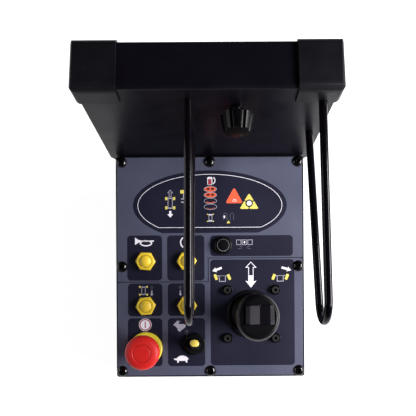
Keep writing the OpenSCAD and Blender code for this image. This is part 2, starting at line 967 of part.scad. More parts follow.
module lever_base() {
    top = under;
    ear_low = -stick_pivot - stick_hub_d / 2 - 3;
    color(gloss_ink)
        at_stick()
            difference() {
                union() {
                    translate([0, 0, top - 3])
                        linear_extrude(3)
                            round_rect(stick_flange, stick_flange, 4);
                    stick_ears(stick_ear_t)
                        translate([-stick_ear_t / 2, -stick_hub_d / 2 - 2, ear_low])
                            cube([stick_ear_t, stick_hub_d + 4, top - ear_low - 1]);
                    translate([0, 0, ear_low - stick_case_h])
                        linear_extrude(stick_case_h)
                            round_rect(stick_case, stick_case, 5);
                    for (x = [-1, 1], y = [-1, 1])
                        translate([x * (stick_case / 2 - 5), y * (stick_case / 2 - 5), ear_low - 1])
                            cylinder(d = 6, h = top - ear_low);
                }
                translate([0, 0, top - 4])
                    cylinder(d = stick_hole_d - 6, h = 6);
                translate([-stick_case / 2, 0, -stick_pivot])
                    rotate([0, 90, 0])
                        cylinder(d = stick_pin_d, h = stick_case);
                for (x = [-0.5, 0.5], y = [-0.5, 0.5])
                    translate([x * stick_screw_sq, y * stick_screw_sq, top - 4])
                        cylinder(d = stick_screw_d, h = 6);
            }
}

module pivot_pin() {
    l = stick_hub_w + 2 * (stick_ear_t + move_gap);
    color(steel)
        at_stick(-stick_pivot)
            translate([-l / 2, 0, 0])
                rotate([0, 90, 0])
                    cylinder(d = stick_pin_d, h = l);
}

module lever_rod() {
    color(steel)
        leaned()
            difference() {
                union() {
                    translate([-stick_hub_w / 2, 0, -stick_pivot])
                        rotate([0, 90, 0])
                            cylinder(d = stick_hub_d, h = stick_hub_w);
                    translate([0, 0, -stick_pivot])
                        cylinder(d = stick_rod_d, h = stick_pivot + cap_base_z - 6);
                }
                translate([-stick_hub_w, 0, -stick_pivot])
                    rotate([0, 90, 0])
                        cylinder(d = stick_pin_d + 2 * run_gap, h = 2 * stick_hub_w);
            }
}

module lever_washers() {
    color(gloss_ink)
        at_stick(face)
            for (x = [-0.5, 0.5], y = [-0.5, 0.5])
                translate([x * stick_screw_sq, y * stick_screw_sq, 0])
                    difference() {
                        cylinder(d = stick_washer_d, h = 1.2);
                        translate([0, 0, -1])
                            cylinder(d = stick_screw_d + 0.3, h = 4);
                    }
}

module lever_screws() {
    color(steel)
        at_stick(face + 1.2)
            for (x = [-0.5, 0.5], y = [-0.5, 0.5])
                translate([x * stick_screw_sq, y * stick_screw_sq, 0])
                    difference() {
                        union() {
                            cylinder(d = stick_head_d, h = stick_screw_d * 0.75);
                            translate([0, 0, -overlay_t - panel_t - 5])
                                cylinder(d = stick_screw_d - 0.1, h = overlay_t + panel_t + 6);
                        }
                        translate([0, 0, 1.4])
                            hex(stick_screw_d * 0.8, 5);
                    }
}

module boot_ring() {
    color(gloss_ink)
        at_stick(face)
            turned([
                [boot_d / 2 + 0.2, 1.6], [boot_d / 2 + 0.2, boot_ring_h],
                [boot_ring_d / 2 - 1.2, boot_ring_h], [boot_ring_d / 2, boot_ring_h - 1.2],
                [boot_ring_d / 2, 0], [boot_ring_d / 2 - 1.2, 0], [boot_ring_d / 2 - 1.2, 1.6]
            ]);
}

// Radius of the bellows at a share s of its height: a smooth taper with soft folds.
function bellows(s) =
    boot_d / 2 - 1.2 - (boot_d - boot_top_d - 2.4) / 2 * pow(s, 1.35)
    - boot_fold * (1 - s) * (0.5 - 0.5 * cos(360 * boot_folds * s));

module lever_boot() {
    n = 12 * boot_folds;
    low = 1.4;
    outer = [for (i = [0:n]) [bellows(i / n), low + (boot_h - low) * i / n]];
    inner = [for (i = [n:-1:0]) [bellows(i / n) - boot_t, low + (boot_h - low) * i / n - 0.01]];
    color(rubber_ink)
        union() {
            at_stick(face)
                difference() {
                    cylinder(d = boot_ring_d - 2.8, h = 1.5);
                    translate([0, 0, -1])
                        cylinder(d = boot_d - 8, h = 4);
                }
            leaned()
                translate([0, 0, face])
                    turned(concat(outer, inner));
        }
}

// The grip: a necked barrel that widens to the head cap.
module handle_body() {
    neck = handle_neck_d / 2;
    waist = handle_waist_d / 2;
    wide = handle_d / 2;
    span = cap_base_z - handle_low_z;
    swell = [for (s = [0:0.1:1]) [waist + (wide - waist) * (0.5 - 0.5 * cos(180 * s)), handle_low_z + 9 + (span - 9) * s]];
    color(gloss_ink)
        leaned()
            difference() {
                turned(concat(
                    [[0, boot_h - 10], [neck - 0.5, boot_h - 10], [neck, boot_h - 9.5], [neck, handle_low_z - 1]],
                    [for (a = [0:15:90]) [waist - 5 + 5 * sin(a), handle_low_z + 8 - 5 * cos(a) - 3 * (1 - sin(a))]],
                    swell,
                    [[0, cap_base_z]]
                ));
                translate([0, 0, -stick_pivot])
                    cylinder(d = stick_rod_d + 2 * weld_gap, h = stick_pivot + cap_base_z - 6 + weld_gap);
            }
}

module handle_cap() {
    r = handle_d / 2;
    color(gloss_ink)
        leaned()
            difference() {
                turned(concat(
                    [[0, cap_base_z], [r - 0.6, cap_base_z], [r - 0.6, cap_base_z + 0.8], [r, cap_base_z + 1.4]],
                    [for (a = [0:15:90]) [
                        r - handle_cap_r + handle_cap_r * cos(a), handle_top_z - handle_cap_r + handle_cap_r * sin(a)
                    ]],
                    [[0, handle_top_z]]
                ));
                // the well the rocker swings in
                translate([rocker_right, rocker_away, cap_base_z + 2])
                    linear_extrude(handle_cap_h)
                        round_rect(rocker_w + 4 * move_gap + 0.8, rocker_l + 2 * move_gap, 1.5);
                translate([rocker_right, rocker_away - rocker_l / 2 - 3, rocker_z])
                    rotate([-90, 0, 0])
                        cylinder(d = rocker_pin_d, h = rocker_l + 6);
            }
}

// The rocker's own frame: 0 is its pivot.
module at_rocker() {
    leaned()
        translate([rocker_right, rocker_away, rocker_z])
            children();
}

module rocker_pin() {
    color(steel)
        at_rocker()
            translate([0, -rocker_l / 2 - 3, 0])
                rotate([-90, 0, 0])
                    cylinder(d = rocker_pin_d, h = rocker_l + 6);
}

module steering_rocker() {
    half = rocker_w / 2;
    color(gloss_ink)
        at_rocker()
            translate([0, rocker_l / 2, 0])
                rotate([90, 0, 0])
                    difference() {
                        union() {
                            linear_extrude(rocker_l)
                                polygon([
                                    [-half, 0], [-half, rocker_pivot + rocker_rise - 1],
                                    [-half + 1, rocker_pivot + rocker_rise], [0, rocker_pivot],
                                    [half - 1, rocker_pivot + rocker_rise],
                                    [half, rocker_pivot + rocker_rise - 1], [half, 0], [6, -1.5], [-6, -1.5]
                                ]);
                            cylinder(d = rocker_pin_d + 3.4, h = rocker_l);
                        }
                        translate([0, 0, -1])
                            cylinder(d = rocker_pin_d + 2 * run_gap, h = rocker_l + 2);
                    }
}

// Local frame of the emergency stop, on the overlay.
module at_stop(w = 0) {
    on_panel(stop_u, stop_v, face + w)
        children();
}

module stop_collar() {
    r = stop_collar_d / 2;
    color(stop_yellow)
        at_stop()
            difference() {
                turned([
                    [0, 0], [r, 0], [r, stop_collar_h - 2], [r - 0.6, stop_collar_h - 0.6],
                    [r - 2, stop_collar_h], [0, stop_collar_h]
                ]);
                translate([0, 0, -1])
                    cylinder(d = stop_barrel_d + 2 * weld_gap, h = stop_collar_h + 2);
            }
}

module stop_barrel() {
    low = -overlay_t - panel_t - 12;
    color(gloss_ink)
        at_stop()
            difference() {
                union() {
                    translate([0, 0, low])
                        cylinder(d = stop_barrel_d, h = stop_collar_h + stop_barrel_h - 2 - low);
                    translate([0, 0, stop_collar_h])
                        cylinder(d = stop_barrel_d + 3, h = stop_barrel_h - 2);
                    translate([0, 0, stop_collar_h + stop_barrel_h - 2])
                        cylinder(d1 = stop_barrel_d, d2 = stop_plunger_d + 4, h = 2);
                }
                translate([0, 0, low - 1])
                    cylinder(d = stop_plunger_d + 2 * run_gap, h = stop_collar_h + stop_barrel_h - low + 2);
            }
}

module stop_nut() {
    color(steel)
        at_stop(-overlay_t - panel_t - 4)
            difference() {
                turned_hex(stop_barrel_d + 5, 4, 1);
                translate([0, 0, -1])
                    cylinder(d = stop_barrel_d + 2 * weld_gap, h = 6);
            }
}

module stop_block() {
    low = -overlay_t - panel_t - 12 - stop_block_h;
    color(gloss_ink)
        at_stop()
            difference() {
                translate([0, 0, low])
                    linear_extrude(stop_block_h)
                        round_rect(stop_block, stop_block, 2);
                translate([0, 0, low + stop_block_h - stop_travel - 4])
                    cylinder(d = stop_plunger_d + 2, h = stop_travel + 5);
                for (x = [-1, 1])
                    translate([x * stop_block / 2, 0, low + 8])
                        cube([4, stop_block * 0.6, 9], center = true);
            }
}

module stop_plunger() {
    low = -overlay_t - panel_t - 14;
    color(steel)
        at_stop()
            union() {
                translate([0, 0, low])
                    cylinder(d = stop_plunger_d, h = stop_head_z - 1 - low);
                cylinder(d = stop_pin_d, h = stop_head_z + stop_head_h - 6);
            }
}

module stop_head() {
    r = stop_head_d / 2;
    neck = stop_neck_d / 2;
    groove = stop_groove_d / 2;
    h = stop_head_h;
    color(stop_red)
        at_stop(stop_head_z)
            difference() {
                turned(concat(
                    [[0, 0], [neck - 1, 0], [neck, 1], [neck, h * 0.3]],
                    [for (a = [0:15:60]) [neck + (r - neck) * sin(a * 1.5), h * 0.3 + h * 0.27 * (1 - cos(a * 1.5))]],
                    [[r, h * 0.72]],
                    [for (a = [10:10:90]) [r - 4 + 4 * cos(a), h * 0.72 + h * 0.14 * sin(a)]],
                    [[groove + 1, h * 0.95], [groove, h * 0.92], [groove - 1, h * 0.96], [0, h]]
                ));
                translate([0, 0, -1])
                    cylinder(d = stop_pin_d + 2 * run_gap, h = h - 5.5 + 1);
            }
}

// Local frame of a switch, on the overlay.
module at_switch(p, w = 0) {
    on_panel(p[0], p[1], face + w)
        children();
}

module hex_bezel(p, turn) {
    color(amber)
        at_switch(p)
            rotate([0, 0, turn])
                difference() {
                    turned_hex(btn_af, btn_hex_h, 2, false);
                    translate([0, 0, 2])
                        cylinder(d = btn_cap_d + 2 * move_gap, h = btn_hex_h);
                    translate([0, 0, -1])
                        cylinder(d = switch_d + 2 * weld_gap, h = 4);
                }
}

// A domed cap on a stem; drop is the height of its skirt's lower edge.
module button_cap(p, d, drop, top, rise, ink_of) {
    color(ink_of)
        at_switch(p)
            union() {
                translate([0, 0, drop])
                    cylinder(d = d, h = top - drop);
                translate([0, 0, top - eps])
                    dome(d / 2, rise);
                translate([0, 0, -6])
                    cylinder(d = stem_d, h = drop + 6.5);
            }
}

module yellow_cap(p) {
    button_cap(p, btn_cap_d, 2.4 + btn_travel, btn_hex_h, btn_dome_h, amber);
}

module horn_button_bezel() {
    hex_bezel(button_at[0], -3);
}

module horn_button_cap() {
    yellow_cap(button_at[0]);
}

module power_button_bezel() {
    hex_bezel(button_at[1], 2);
}

module power_button_cap() {
    yellow_cap(button_at[1]);
}

module chassis_button_bezel() {
    hex_bezel(button_at[2], 5);
}

module chassis_button_cap() {
    yellow_cap(button_at[2]);
}

module height_button_bezel() {
    hex_bezel(button_at[3], -2);
}

module height_button_cap() {
    yellow_cap(button_at[3]);
}

module black_button_bezel() {
    r = black_bezel_d / 2;
    bore = black_cap_d / 2 + move_gap;
    color(gloss_ink)
        at_switch([black_u, black_v])
            turned([
                [switch_d / 2 + weld_gap, 0], [r, 0], [r, black_bezel_h - 1.6], [r - 1.6, black_bezel_h],
                [bore + 0.6, black_bezel_h], [bore, black_bezel_h - 0.6], [bore, 2], [switch_d / 2 + weld_gap, 2]
            ]);
}

module black_button_cap() {
    button_cap([black_u, black_v], black_cap_d, 2.4 + btn_travel, black_bezel_h + btn_travel, 0.8, gloss_ink);
}

// The momentary switches under the panel: a threaded barrel, a body and two blades each.
module switch_bodies() {
    low = -overlay_t - panel_t - 8;
    color(gloss_ink)
        for (p = switch_at)
            at_switch(p)
                difference() {
                    union() {
                        translate([0, 0, low])
                            cylinder(d = switch_d, h = 2 - low);
                        translate([0, 0, low - switch_body_h])
                            linear_extrude(switch_body_h)
                                round_rect(switch_body, switch_body, 1.5);
                        for (x = [-1, 1])
                            translate([x * switch_body / 4 - 0.4, -1.4, low - switch_body_h - 6])
                                cube([0.8, 2.8, 7]);
                    }
                    translate([0, 0, -10])
                        cylinder(d = stem_d + 2 * run_gap, h = 20);
                }
}

module switch_nuts() {
    color(steel)
        for (p = nut_at)
            at_switch(p, -overlay_t - panel_t - switch_nut_h)
                difference() {
                    turned_hex(switch_nut_af, switch_nut_h, 0.6);
                    translate([0, 0, -1])
                        cylinder(d = switch_d + 2 * weld_gap, h = switch_nut_h + 2);
                }
}

module at_toggle(w = 0) {
    on_panel(toggle_u, toggle_v, face + w)
        children();
}

module toggle_collar() {
    color(rubber_ink)
        at_toggle()
            rotate([0, 0, toggle_turn])
                difference() {
                    turned_hex(toggle_af, toggle_hex_h, 1.5, false);
                    translate([0, 0, toggle_hex_h - 1.5])
                        sphere(d = toggle_ball_d + 2 * move_gap);
                    translate([0, 0, -1])
                        cylinder(d = switch_d + 2 * weld_gap, h = 4);
                }
}

module toggle_body() {
    low = -overlay_t - panel_t - 8;
    color(gloss_ink)
        at_toggle()
            difference() {
                union() {
                    translate([0, 0, low])
                        cylinder(d = switch_d, h = -low - 3);
                    translate([0, 0, -3.5])
                        cylinder(d = switch_d, h = 2);
                    translate([0, 0, low - switch_body_h])
                        linear_extrude(switch_body_h)
                            round_rect(switch_body, switch_body * 1.7, 1.5);
                    for (y = [-1, 0, 1])
                        translate([-1.4, y * switch_body * 0.5 - 0.4, low - switch_body_h - 6])
                            cube([2.8, 0.8, 7]);
                }
                translate([0, 0, toggle_hex_h - 1.5])
                    sphere(d = toggle_ball_d + 2 * move_gap);
            }
}

// Local frame of the toggle's moving pieces: 0 is the pivot, +Z runs up the lever.
module toggle_frame() {
    at_toggle(toggle_hex_h - 1.5)
        rotate([-toggle_lean, 0, 0])
            children();
}

// The cross pin that the lever turns on.
module toggle_pin(d, l) {
    translate([-l / 2, 0, 0])
        rotate([0, 90, 0])
            cylinder(d = d, h = l);
}

// The boot's ball is cut off under the pin, so it clears the panel at both ends of the swing.
module toggle_boot() {
    r = toggle_ball_d / 2;
    low = toggle_pin_d / 2;
    neck = toggle_rod_d / 2 + 1.6;
    color(rubber_ink)
        toggle_frame()
            difference() {
                union() {
                    sphere(r);
                    cylinder(r1 = r * 0.93, r2 = neck, h = toggle_tip_z - toggle_tip_l);
                }
                translate([0, 0, -low - r])
                    cylinder(r = r + 1, h = r);
                translate([0, 0, -r])
                    cylinder(d = toggle_rod_d + 2 * weld_gap, h = toggle_tip_z + r);
                toggle_pin(toggle_pin_d + 2 * weld_gap, toggle_ball_d);
            }
}

module toggle_lever() {
    color(steel)
        toggle_frame()
            union() {
                translate([0, 0, -toggle_pin_d / 2])
                    cylinder(d = toggle_rod_d, h = toggle_tip_z - 3 + toggle_pin_d / 2);
                toggle_pin(toggle_pin_d, toggle_ball_d - 1.6);
            }
}

module toggle_tip() {
    w = toggle_tip_w;
    t = toggle_tip_t;
    color(amber)
        toggle_frame()
            difference() {
                intersection() {
                    translate([0, 0, toggle_tip_z - toggle_tip_l])
                        linear_extrude(toggle_tip_l)
                            union() {
                                square([w - t, t], center = true);
                                for (s = [-1, 1])
                                    translate([s * (w - t) / 2, 0])
                                        circle(d = t);
                            }
                    translate([0, 0, toggle_tip_z - w])
                        sphere(w);
                }
                translate([0, 0, -1])
                    cylinder(d = toggle_rod_d + 2 * weld_gap, h = toggle_tip_z - 2);
            }
}

base_tray();
bottom_cover();
cover_screws();
control_plate();
upper_overlay();
lower_overlay();
panel_screws();
saddle_hood();
left_corner_cap();
right_corner_cap();
middle_guard_hoop();
right_guard_hoop();
hood_bolts();
clamp_boss();
clamp_knob();
clamp_screw();
clamp_pad();
gland_body();
gland_seal();
gland_nut();
lever_base();
pivot_pin();
lever_rod();
lever_washers();
lever_screws();
boot_ring();
lever_boot();
handle_body();
handle_cap();
rocker_pin();
steering_rocker();
stop_collar();
stop_barrel();
stop_nut();
stop_block();
stop_plunger();
stop_head();
horn_button_bezel();
horn_button_cap();
power_button_bezel();
power_button_cap();
chassis_button_bezel();
chassis_button_cap();
height_button_bezel();
height_button_cap();
black_button_bezel();
black_button_cap();
switch_bodies();
switch_nuts();
toggle_collar();
toggle_body();
toggle_boot();
toggle_lever();
toggle_tip();
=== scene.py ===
"""Looks for the lift platform control console: finishes, printed signs, boot, grip, rocker, stop and studio.

Lengths are in millimetres where a name ends in _mm or a dataclass says so, and in metres elsewhere.
The panel's own directions are u to the operator's right, v up the slope and w out of the face.
"""

from __future__ import annotations

import json
import logging
import math
from dataclasses import dataclass, field, replace
from enum import Enum

import bmesh
import bpy
from mathutils import Matrix, Vector

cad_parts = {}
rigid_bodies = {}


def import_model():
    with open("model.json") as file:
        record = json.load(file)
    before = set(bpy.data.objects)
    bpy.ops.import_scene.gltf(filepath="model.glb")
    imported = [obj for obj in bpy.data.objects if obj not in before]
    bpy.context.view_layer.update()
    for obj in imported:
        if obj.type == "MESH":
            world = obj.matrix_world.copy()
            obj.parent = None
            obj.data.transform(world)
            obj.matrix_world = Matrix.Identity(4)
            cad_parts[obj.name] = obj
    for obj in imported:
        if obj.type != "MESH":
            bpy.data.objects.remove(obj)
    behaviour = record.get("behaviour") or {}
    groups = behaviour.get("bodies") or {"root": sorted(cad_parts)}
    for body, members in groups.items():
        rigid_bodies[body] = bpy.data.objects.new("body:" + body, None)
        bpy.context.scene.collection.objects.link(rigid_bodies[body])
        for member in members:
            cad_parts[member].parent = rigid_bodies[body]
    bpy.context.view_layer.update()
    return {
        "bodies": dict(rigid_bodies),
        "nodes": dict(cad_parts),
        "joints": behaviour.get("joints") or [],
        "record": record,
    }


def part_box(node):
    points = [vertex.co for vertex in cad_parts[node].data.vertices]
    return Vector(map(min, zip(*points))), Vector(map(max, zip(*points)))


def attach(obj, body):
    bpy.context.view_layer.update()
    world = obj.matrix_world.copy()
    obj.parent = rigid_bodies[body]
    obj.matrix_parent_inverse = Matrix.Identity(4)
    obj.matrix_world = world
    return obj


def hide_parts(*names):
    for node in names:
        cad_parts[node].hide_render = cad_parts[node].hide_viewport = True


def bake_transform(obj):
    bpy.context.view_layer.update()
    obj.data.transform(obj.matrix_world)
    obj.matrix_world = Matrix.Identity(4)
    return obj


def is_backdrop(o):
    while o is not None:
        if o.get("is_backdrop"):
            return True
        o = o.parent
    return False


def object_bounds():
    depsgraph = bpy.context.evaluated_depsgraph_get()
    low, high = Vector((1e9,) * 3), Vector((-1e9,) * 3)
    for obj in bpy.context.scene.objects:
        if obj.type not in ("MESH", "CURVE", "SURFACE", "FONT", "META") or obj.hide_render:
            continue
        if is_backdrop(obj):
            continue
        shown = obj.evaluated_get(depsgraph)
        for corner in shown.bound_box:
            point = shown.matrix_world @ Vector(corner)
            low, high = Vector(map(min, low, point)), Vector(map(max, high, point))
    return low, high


LOG = logging.getLogger("console")
MM = 0.001
# Half the thickness of the steel panel under the overlays.
HALF_PLATE_MM = 1.0
# Vertices nearer than this become one in a new mesh.
MERGE_M = 1e-7
# In a softened piece, vertices nearer than this become one, and so do faces that turn by less.
WELD_MM = 0.02
FLAT_DEG = 0.3
# Edges in the round parts of the printed signs.
BLOCK_CORNER_EDGES = 8
SHAPE_CORNER_EDGES = 4
DISC_EDGES = 64
BOW_EDGES = 36
OVAL_EDGES = 144
# How many times as long as it is wide a brushed line is, and a turning mark.
BRUSHED_LENGTHS = 40
MACHINED_LENGTHS = 12
# No finish is glossier than this.
LEAST_ROUGHNESS = 0.03
# A noise texture's values lie mostly between these two.
NOISE_SPAN = {"From Min": 0.25, "From Max": 0.75}
FINE_SPAN = {"From Min": 0.3, "From Max": 0.7}
# Dust lies in cells of about 4 mm, each with one fleck, and only where the slow drift runs high.
DUST_CELLS_PER_M = 260.0
DUST_FLECK = {"From Min": 0.05, "From Max": 0.12}
DUST_PATCH = {"From Min": 0.52, "From Max": 0.62, "To Min": 0.0, "To Max": 1.0}

# A place, a size or a pair of half widths, and the corners of an outline.
Pair = tuple[float, float]
Outline = list[Pair]


def srgb(code: str) -> tuple[float, float, float, float]:
    """Turns a colour code into linear light.

    Args:
        code: Six hex digits, with or without a leading hash.

    Returns:
        Linear red, green and blue, and an alpha of 1.
    """
    parts = [int(code.lstrip("#")[i : i + 2], 16) / 255 for i in (0, 2, 4)]
    linear = [p / 12.92 if p <= 0.04045 else ((p + 0.055) / 1.055) ** 2.4 for p in parts]
    return (linear[0], linear[1], linear[2], 1.0)


def add_node(
    tree: bpy.types.NodeTree, kind: str, inputs: dict | None = None, settings: dict | None = None
) -> bpy.types.Node:
    """Adds a shader node, sets it and links what feeds it.

    Args:
        tree: The material's node tree.
        kind: The node's type name without its leading "ShaderNode".
        inputs: Input socket to a value, or to an output socket that feeds it.
        settings: Properties of the node itself.

    Returns:
        The new node.
    """
    node = tree.nodes.new(f"ShaderNode{kind}")
    for name, value in (settings or {}).items():
        setattr(node, name, value)
    for name, value in (inputs or {}).items():
        socket = node.inputs[name]
        if isinstance(value, bpy.types.NodeSocket):
            tree.links.new(value, socket)
        else:
            socket.default_value = value
    return node


class Grain(Enum):
    """How a surface was made, which sets the pattern on it."""

    ORANGE_PEEL = "orange peel"
    BRUSHED = "brushed"
    SPARKED = "spark-eroded mould"
    MACHINED = "machined"


@dataclass(frozen=True)
class Finish:
    """One finish: a colour, its gloss and the fine pattern that its making leaves."""

    name: str
    colour: str
    roughness: float
    grain: Grain
    grain_mm: float
    bump_mm: float = 0.0
    mottle: float = 0.06
    mottle_mm: float = 25.0
    rough_span: float = 0.06
    metallic: float = 0.0
    ior: float = 1.5
    specular: float = 0.5
    dust: float = 0.0
    dust_colour: str = "#8c8b90"
    glow: float = 0.0

    def _stretch(self) -> tuple[float, float, float]:
        """Works out how far the fine pattern is drawn out.

        Returns:
            The pattern's scale along X, Y and Z, per metre.
        """
        fine = 1 / (self.grain_mm * MM)
        if self.grain is Grain.BRUSHED:
            # the lines run up the slope
            return (fine, fine / BRUSHED_LENGTHS, fine / BRUSHED_LENGTHS)
        if self.grain is Grain.MACHINED:
            # the turning marks lie flat, across Z
            return (fine / MACHINED_LENGTHS, fine / MACHINED_LENGTHS, fine)
        return (fine, fine, fine)

    def _tone(
        self, tree: bpy.types.NodeTree, drift: bpy.types.NodeSocket, fine: bpy.types.NodeSocket
    ) -> bpy.types.NodeSocket:
        """Varies the colour by the slow drift and, more on lined surfaces, by the fine pattern.

        Args:
            tree: The material's node tree.
            drift: The slow noise.
            fine: The fine noise.

        Returns:
            The colour's output.
        """
        lined = self.grain in (Grain.BRUSHED, Grain.MACHINED)
        lines = (0.5 if lined else 0.15) * self.mottle
        slow = {"Value": drift, "To Min": 1 - self.mottle, "To Max": 1 + self.mottle, **NOISE_SPAN}
        tone = add_node(tree, "MapRange", slow)
        quick = {"Value": fine, "To Min": 1 - lines, "To Max": 1 + lines, **FINE_SPAN}
        streak = add_node(tree, "MapRange", quick)
        both = add_node(
            tree, "Math", {0: tone.outputs["Result"], 1: streak.outputs["Result"]}, {"operation": "MULTIPLY"}
        )
        tint = {0: srgb(self.colour)[:3], "Scale": both.outputs[0]}
        return add_node(tree, "VectorMath", tint, {"operation": "SCALE"}).outputs["Vector"]

    def _dusted(
        self,
        tree: bpy.types.NodeTree,
        place: bpy.types.NodeSocket,
        drift: bpy.types.NodeSocket,
        colour: bpy.types.NodeSocket,
    ) -> bpy.types.NodeSocket:
        """Lays sparse pale flecks of dust with a core of about 0.4 mm over the colour.

        Args:
            tree: The material's node tree.
            place: The object's coordinates.
            drift: The slow noise, which says where dust lies.
            colour: The clean colour.

        Returns:
            The dusty colour's output.
        """
        cells = {"Vector": place, "Scale": DUST_CELLS_PER_M, "Randomness": 1.0}
        flecks = add_node(tree, "TexVoronoi", cells, {"feature": "F1"})
        core = {"Value": flecks.outputs["Distance"], "To Min": self.dust, "To Max": 0.0, **DUST_FLECK}
        near = add_node(tree, "MapRange", core, {"clamp": True})
        patches = add_node(tree, "MapRange", {"Value": drift, **DUST_PATCH}, {"clamp": True})
        amount = add_node(
            tree, "Math", {0: near.outputs["Result"], 1: patches.outputs["Result"]}, {"operation": "MULTIPLY"}
        )
        mix = {"Factor": amount.outputs[0], "A": colour, "B": srgb(self.dust_colour)}
        return add_node(tree, "Mix", mix, {"data_type": "RGBA"}).outputs["Result"]

    def build(self) -> bpy.types.Material:
        """Makes the material.

        Returns:
            A material that reads Object coordinates only.
        """
        material = bpy.data.materials.new(self.name)
        material.use_nodes = True
        tree = material.node_tree
        tree.nodes.clear()
        place = add_node(tree, "TexCoord").outputs["Object"]
        # slow drift of tone and gloss, as a hand-wiped or moulded face has
        wide = {"Vector": place, "Scale": 1 / (self.mottle_mm * MM), "Detail": 3.0}
        drift = add_node(tree, "TexNoise", wide).outputs["Fac"]
        fine_at = add_node(tree, "Mapping", {"Vector": place, "Scale": self._stretch()})
        close = {"Vector": fine_at.outputs["Vector"], "Scale": 1.0, "Detail": 2.0}
        fine = add_node(tree, "TexNoise", close).outputs["Fac"]
        colour = self._tone(tree, drift, fine)
        if self.dust > 0:
            colour = self._dusted(tree, place, drift, colour)
        least = max(LEAST_ROUGHNESS, self.roughness - self.rough_span)
        most = min(1.0, self.roughness + self.rough_span)
        gloss = add_node(tree, "MapRange", {"Value": drift, "To Min": least, "To Max": most, **NOISE_SPAN})
        surface = {
            "Base Color": colour,
            "Metallic": self.metallic,
            "Roughness": gloss.outputs["Result"],
            "IOR": self.ior,
            "Specular IOR Level": self.specular,
            "Emission Color": srgb("#ffffff"),
            "Emission Strength": self.glow,
        }
        shader = add_node(tree, "BsdfPrincipled", surface)
        if self.bump_mm > 0:
            relief = add_node(tree, "Bump", {"Strength": 1.0, "Distance": self.bump_mm * MM, "Height": fine})
            tree.links.new(relief.outputs["Normal"], shader.inputs["Normal"])
        add_node(tree, "OutputMaterial", {"Surface": shader.outputs["BSDF"]})
        return material


# Polyester powder coat, sprayed and baked: a fine orange peel that softens every reflection.
PANEL_COAT = Finish(
    "satin_black_powder_coat_panel", "#0b0c10", 0.4, Grain.ORANGE_PEEL, 1.1, 0.025, mottle=0.1, specular=0.3
)
BOX_COAT = replace(PANEL_COAT, name="satin_black_powder_coat_box", colour="#0c0d11")
HOOD_COAT = Finish(
    "satin_black_powder_coat_hood", "#0c0a11", 0.34, Grain.ORANGE_PEEL, 1.1, 0.015,
    mottle=0.1, specular=0.14, dust=0.05,
)
# Brushed polyester film, printed from behind: fine lines up the slope under a low gloss.
SLATE_FILM = Finish(
    "brushed_slate_film", "#484b5d", 0.46, Grain.BRUSHED, 0.55, 0.012, mottle=0.09, mottle_mm=60
)
NAVY_INK = Finish(
    "navy_screen_ink", "#171829", 0.5, Grain.BRUSHED, 0.55, 0.010, mottle=0.1, mottle_mm=60, specular=0.22
)
# Screen inks under the same film: flat even colours that share its fine lines.
WHITE_INK = Finish("white_screen_ink", "#e9e8ee", 0.5, Grain.BRUSHED, 0.55, 0.008, mottle=0.02)
PALE_INK = replace(WHITE_INK, name="pale_grey_screen_ink", colour="#a5a3af", mottle=0.05)
FAINT_INK = replace(PALE_INK, name="faint_grey_screen_ink", colour="#5d5e69")
YELLOW_INK = replace(PALE_INK, name="yellow_screen_ink", colour="#dacd60")
ORANGE_INK = replace(PALE_INK, name="orange_screen_ink", colour="#dc5b38")
RED_INK = replace(PALE_INK, name="maroon_screen_ink", colour="#94303f")
# Gloss enamel on drawn bar: smooth and nearly black, with two long thin highlights.
ROD_ENAMEL = Finish(
    "gloss_black_enamel", "#070509", 0.13, Grain.ORANGE_PEEL, 3.0, mottle=0.05, rough_span=0.02, specular=0.14
)
# Moulded rubber: matt, with a fine eroded mould texture; the caps hold pale dust in it.
CAP_RUBBER = Finish(
    "moulded_epdm_rubber", "#0d0e13", 0.46, Grain.SPARKED, 0.5, 0.02, mottle=0.16, specular=0.18, dust=0.2
)
SOFT_RUBBER = Finish(
    "soft_black_chloroprene", "#08080b", 0.44, Grain.SPARKED, 0.6, 0.012, mottle=0.12, specular=0.16
)
# Black oxide steel with an oil film: nearly black, with tight glints.
BLACK_OXIDE = Finish(
    "oiled_black_oxide_steel", "#050506", 0.14, Grain.MACHINED, 0.3, 0.002, rough_span=0.03, specular=0.35
)
# Blackened screws handled and dusted over the years: a dull brownish grey.
DULL_STEEL = Finish(
    "dull_phosphated_steel", "#2a2a28", 0.45, Grain.MACHINED, 0.3, 0.006, mottle=0.2, metallic=0.5
)
# Zinc plate on bolts: a cool grey metal with soft, slightly streaked reflections.
ZINC_STEEL = Finish(
    "zinc_plated_steel", "#8e8f94", 0.34, Grain.MACHINED, 0.3, 0.006, mottle=0.1, metallic=1.0
)
# Glass-filled nylon mouldings: semi-gloss with a faint mould texture.
BLACK_NYLON = Finish(
    "black_moulded_nylon", "#07080a", 0.32, Grain.SPARKED, 0.5, 0.006, mottle=0.1, specular=0.22
)
HANDLE_NYLON = Finish(
    "satin_handle_nylon", "#08070b", 0.38, Grain.SPARKED, 0.45, 0.008, mottle=0.1, specular=0.2
)
ROCKER_NYLON = Finish(
    "satin_rocker_nylon", "#121018", 0.38, Grain.SPARKED, 0.4, 0.006, mottle=0.08, specular=0.24
)
KNOB_NYLON = Finish(
    "satin_knob_nylon", "#040405", 0.3, Grain.SPARKED, 0.5, 0.006, mottle=0.1, specular=0.12
)
RED_NYLON = Finish("red_moulded_nylon", "#cb201d", 0.5, Grain.SPARKED, 0.5, 0.008, mottle=0.04, specular=0.3)
YELLOW_NYLON = Finish("yellow_moulded_nylon", "#dcc93a", 0.36, Grain.SPARKED, 0.5, 0.008, mottle=0.04)
LEMON_NYLON = Finish("lemon_toggle_nylon", "#ead45e", 0.34, Grain.SPARKED, 0.5, 0.008, mottle=0.04)
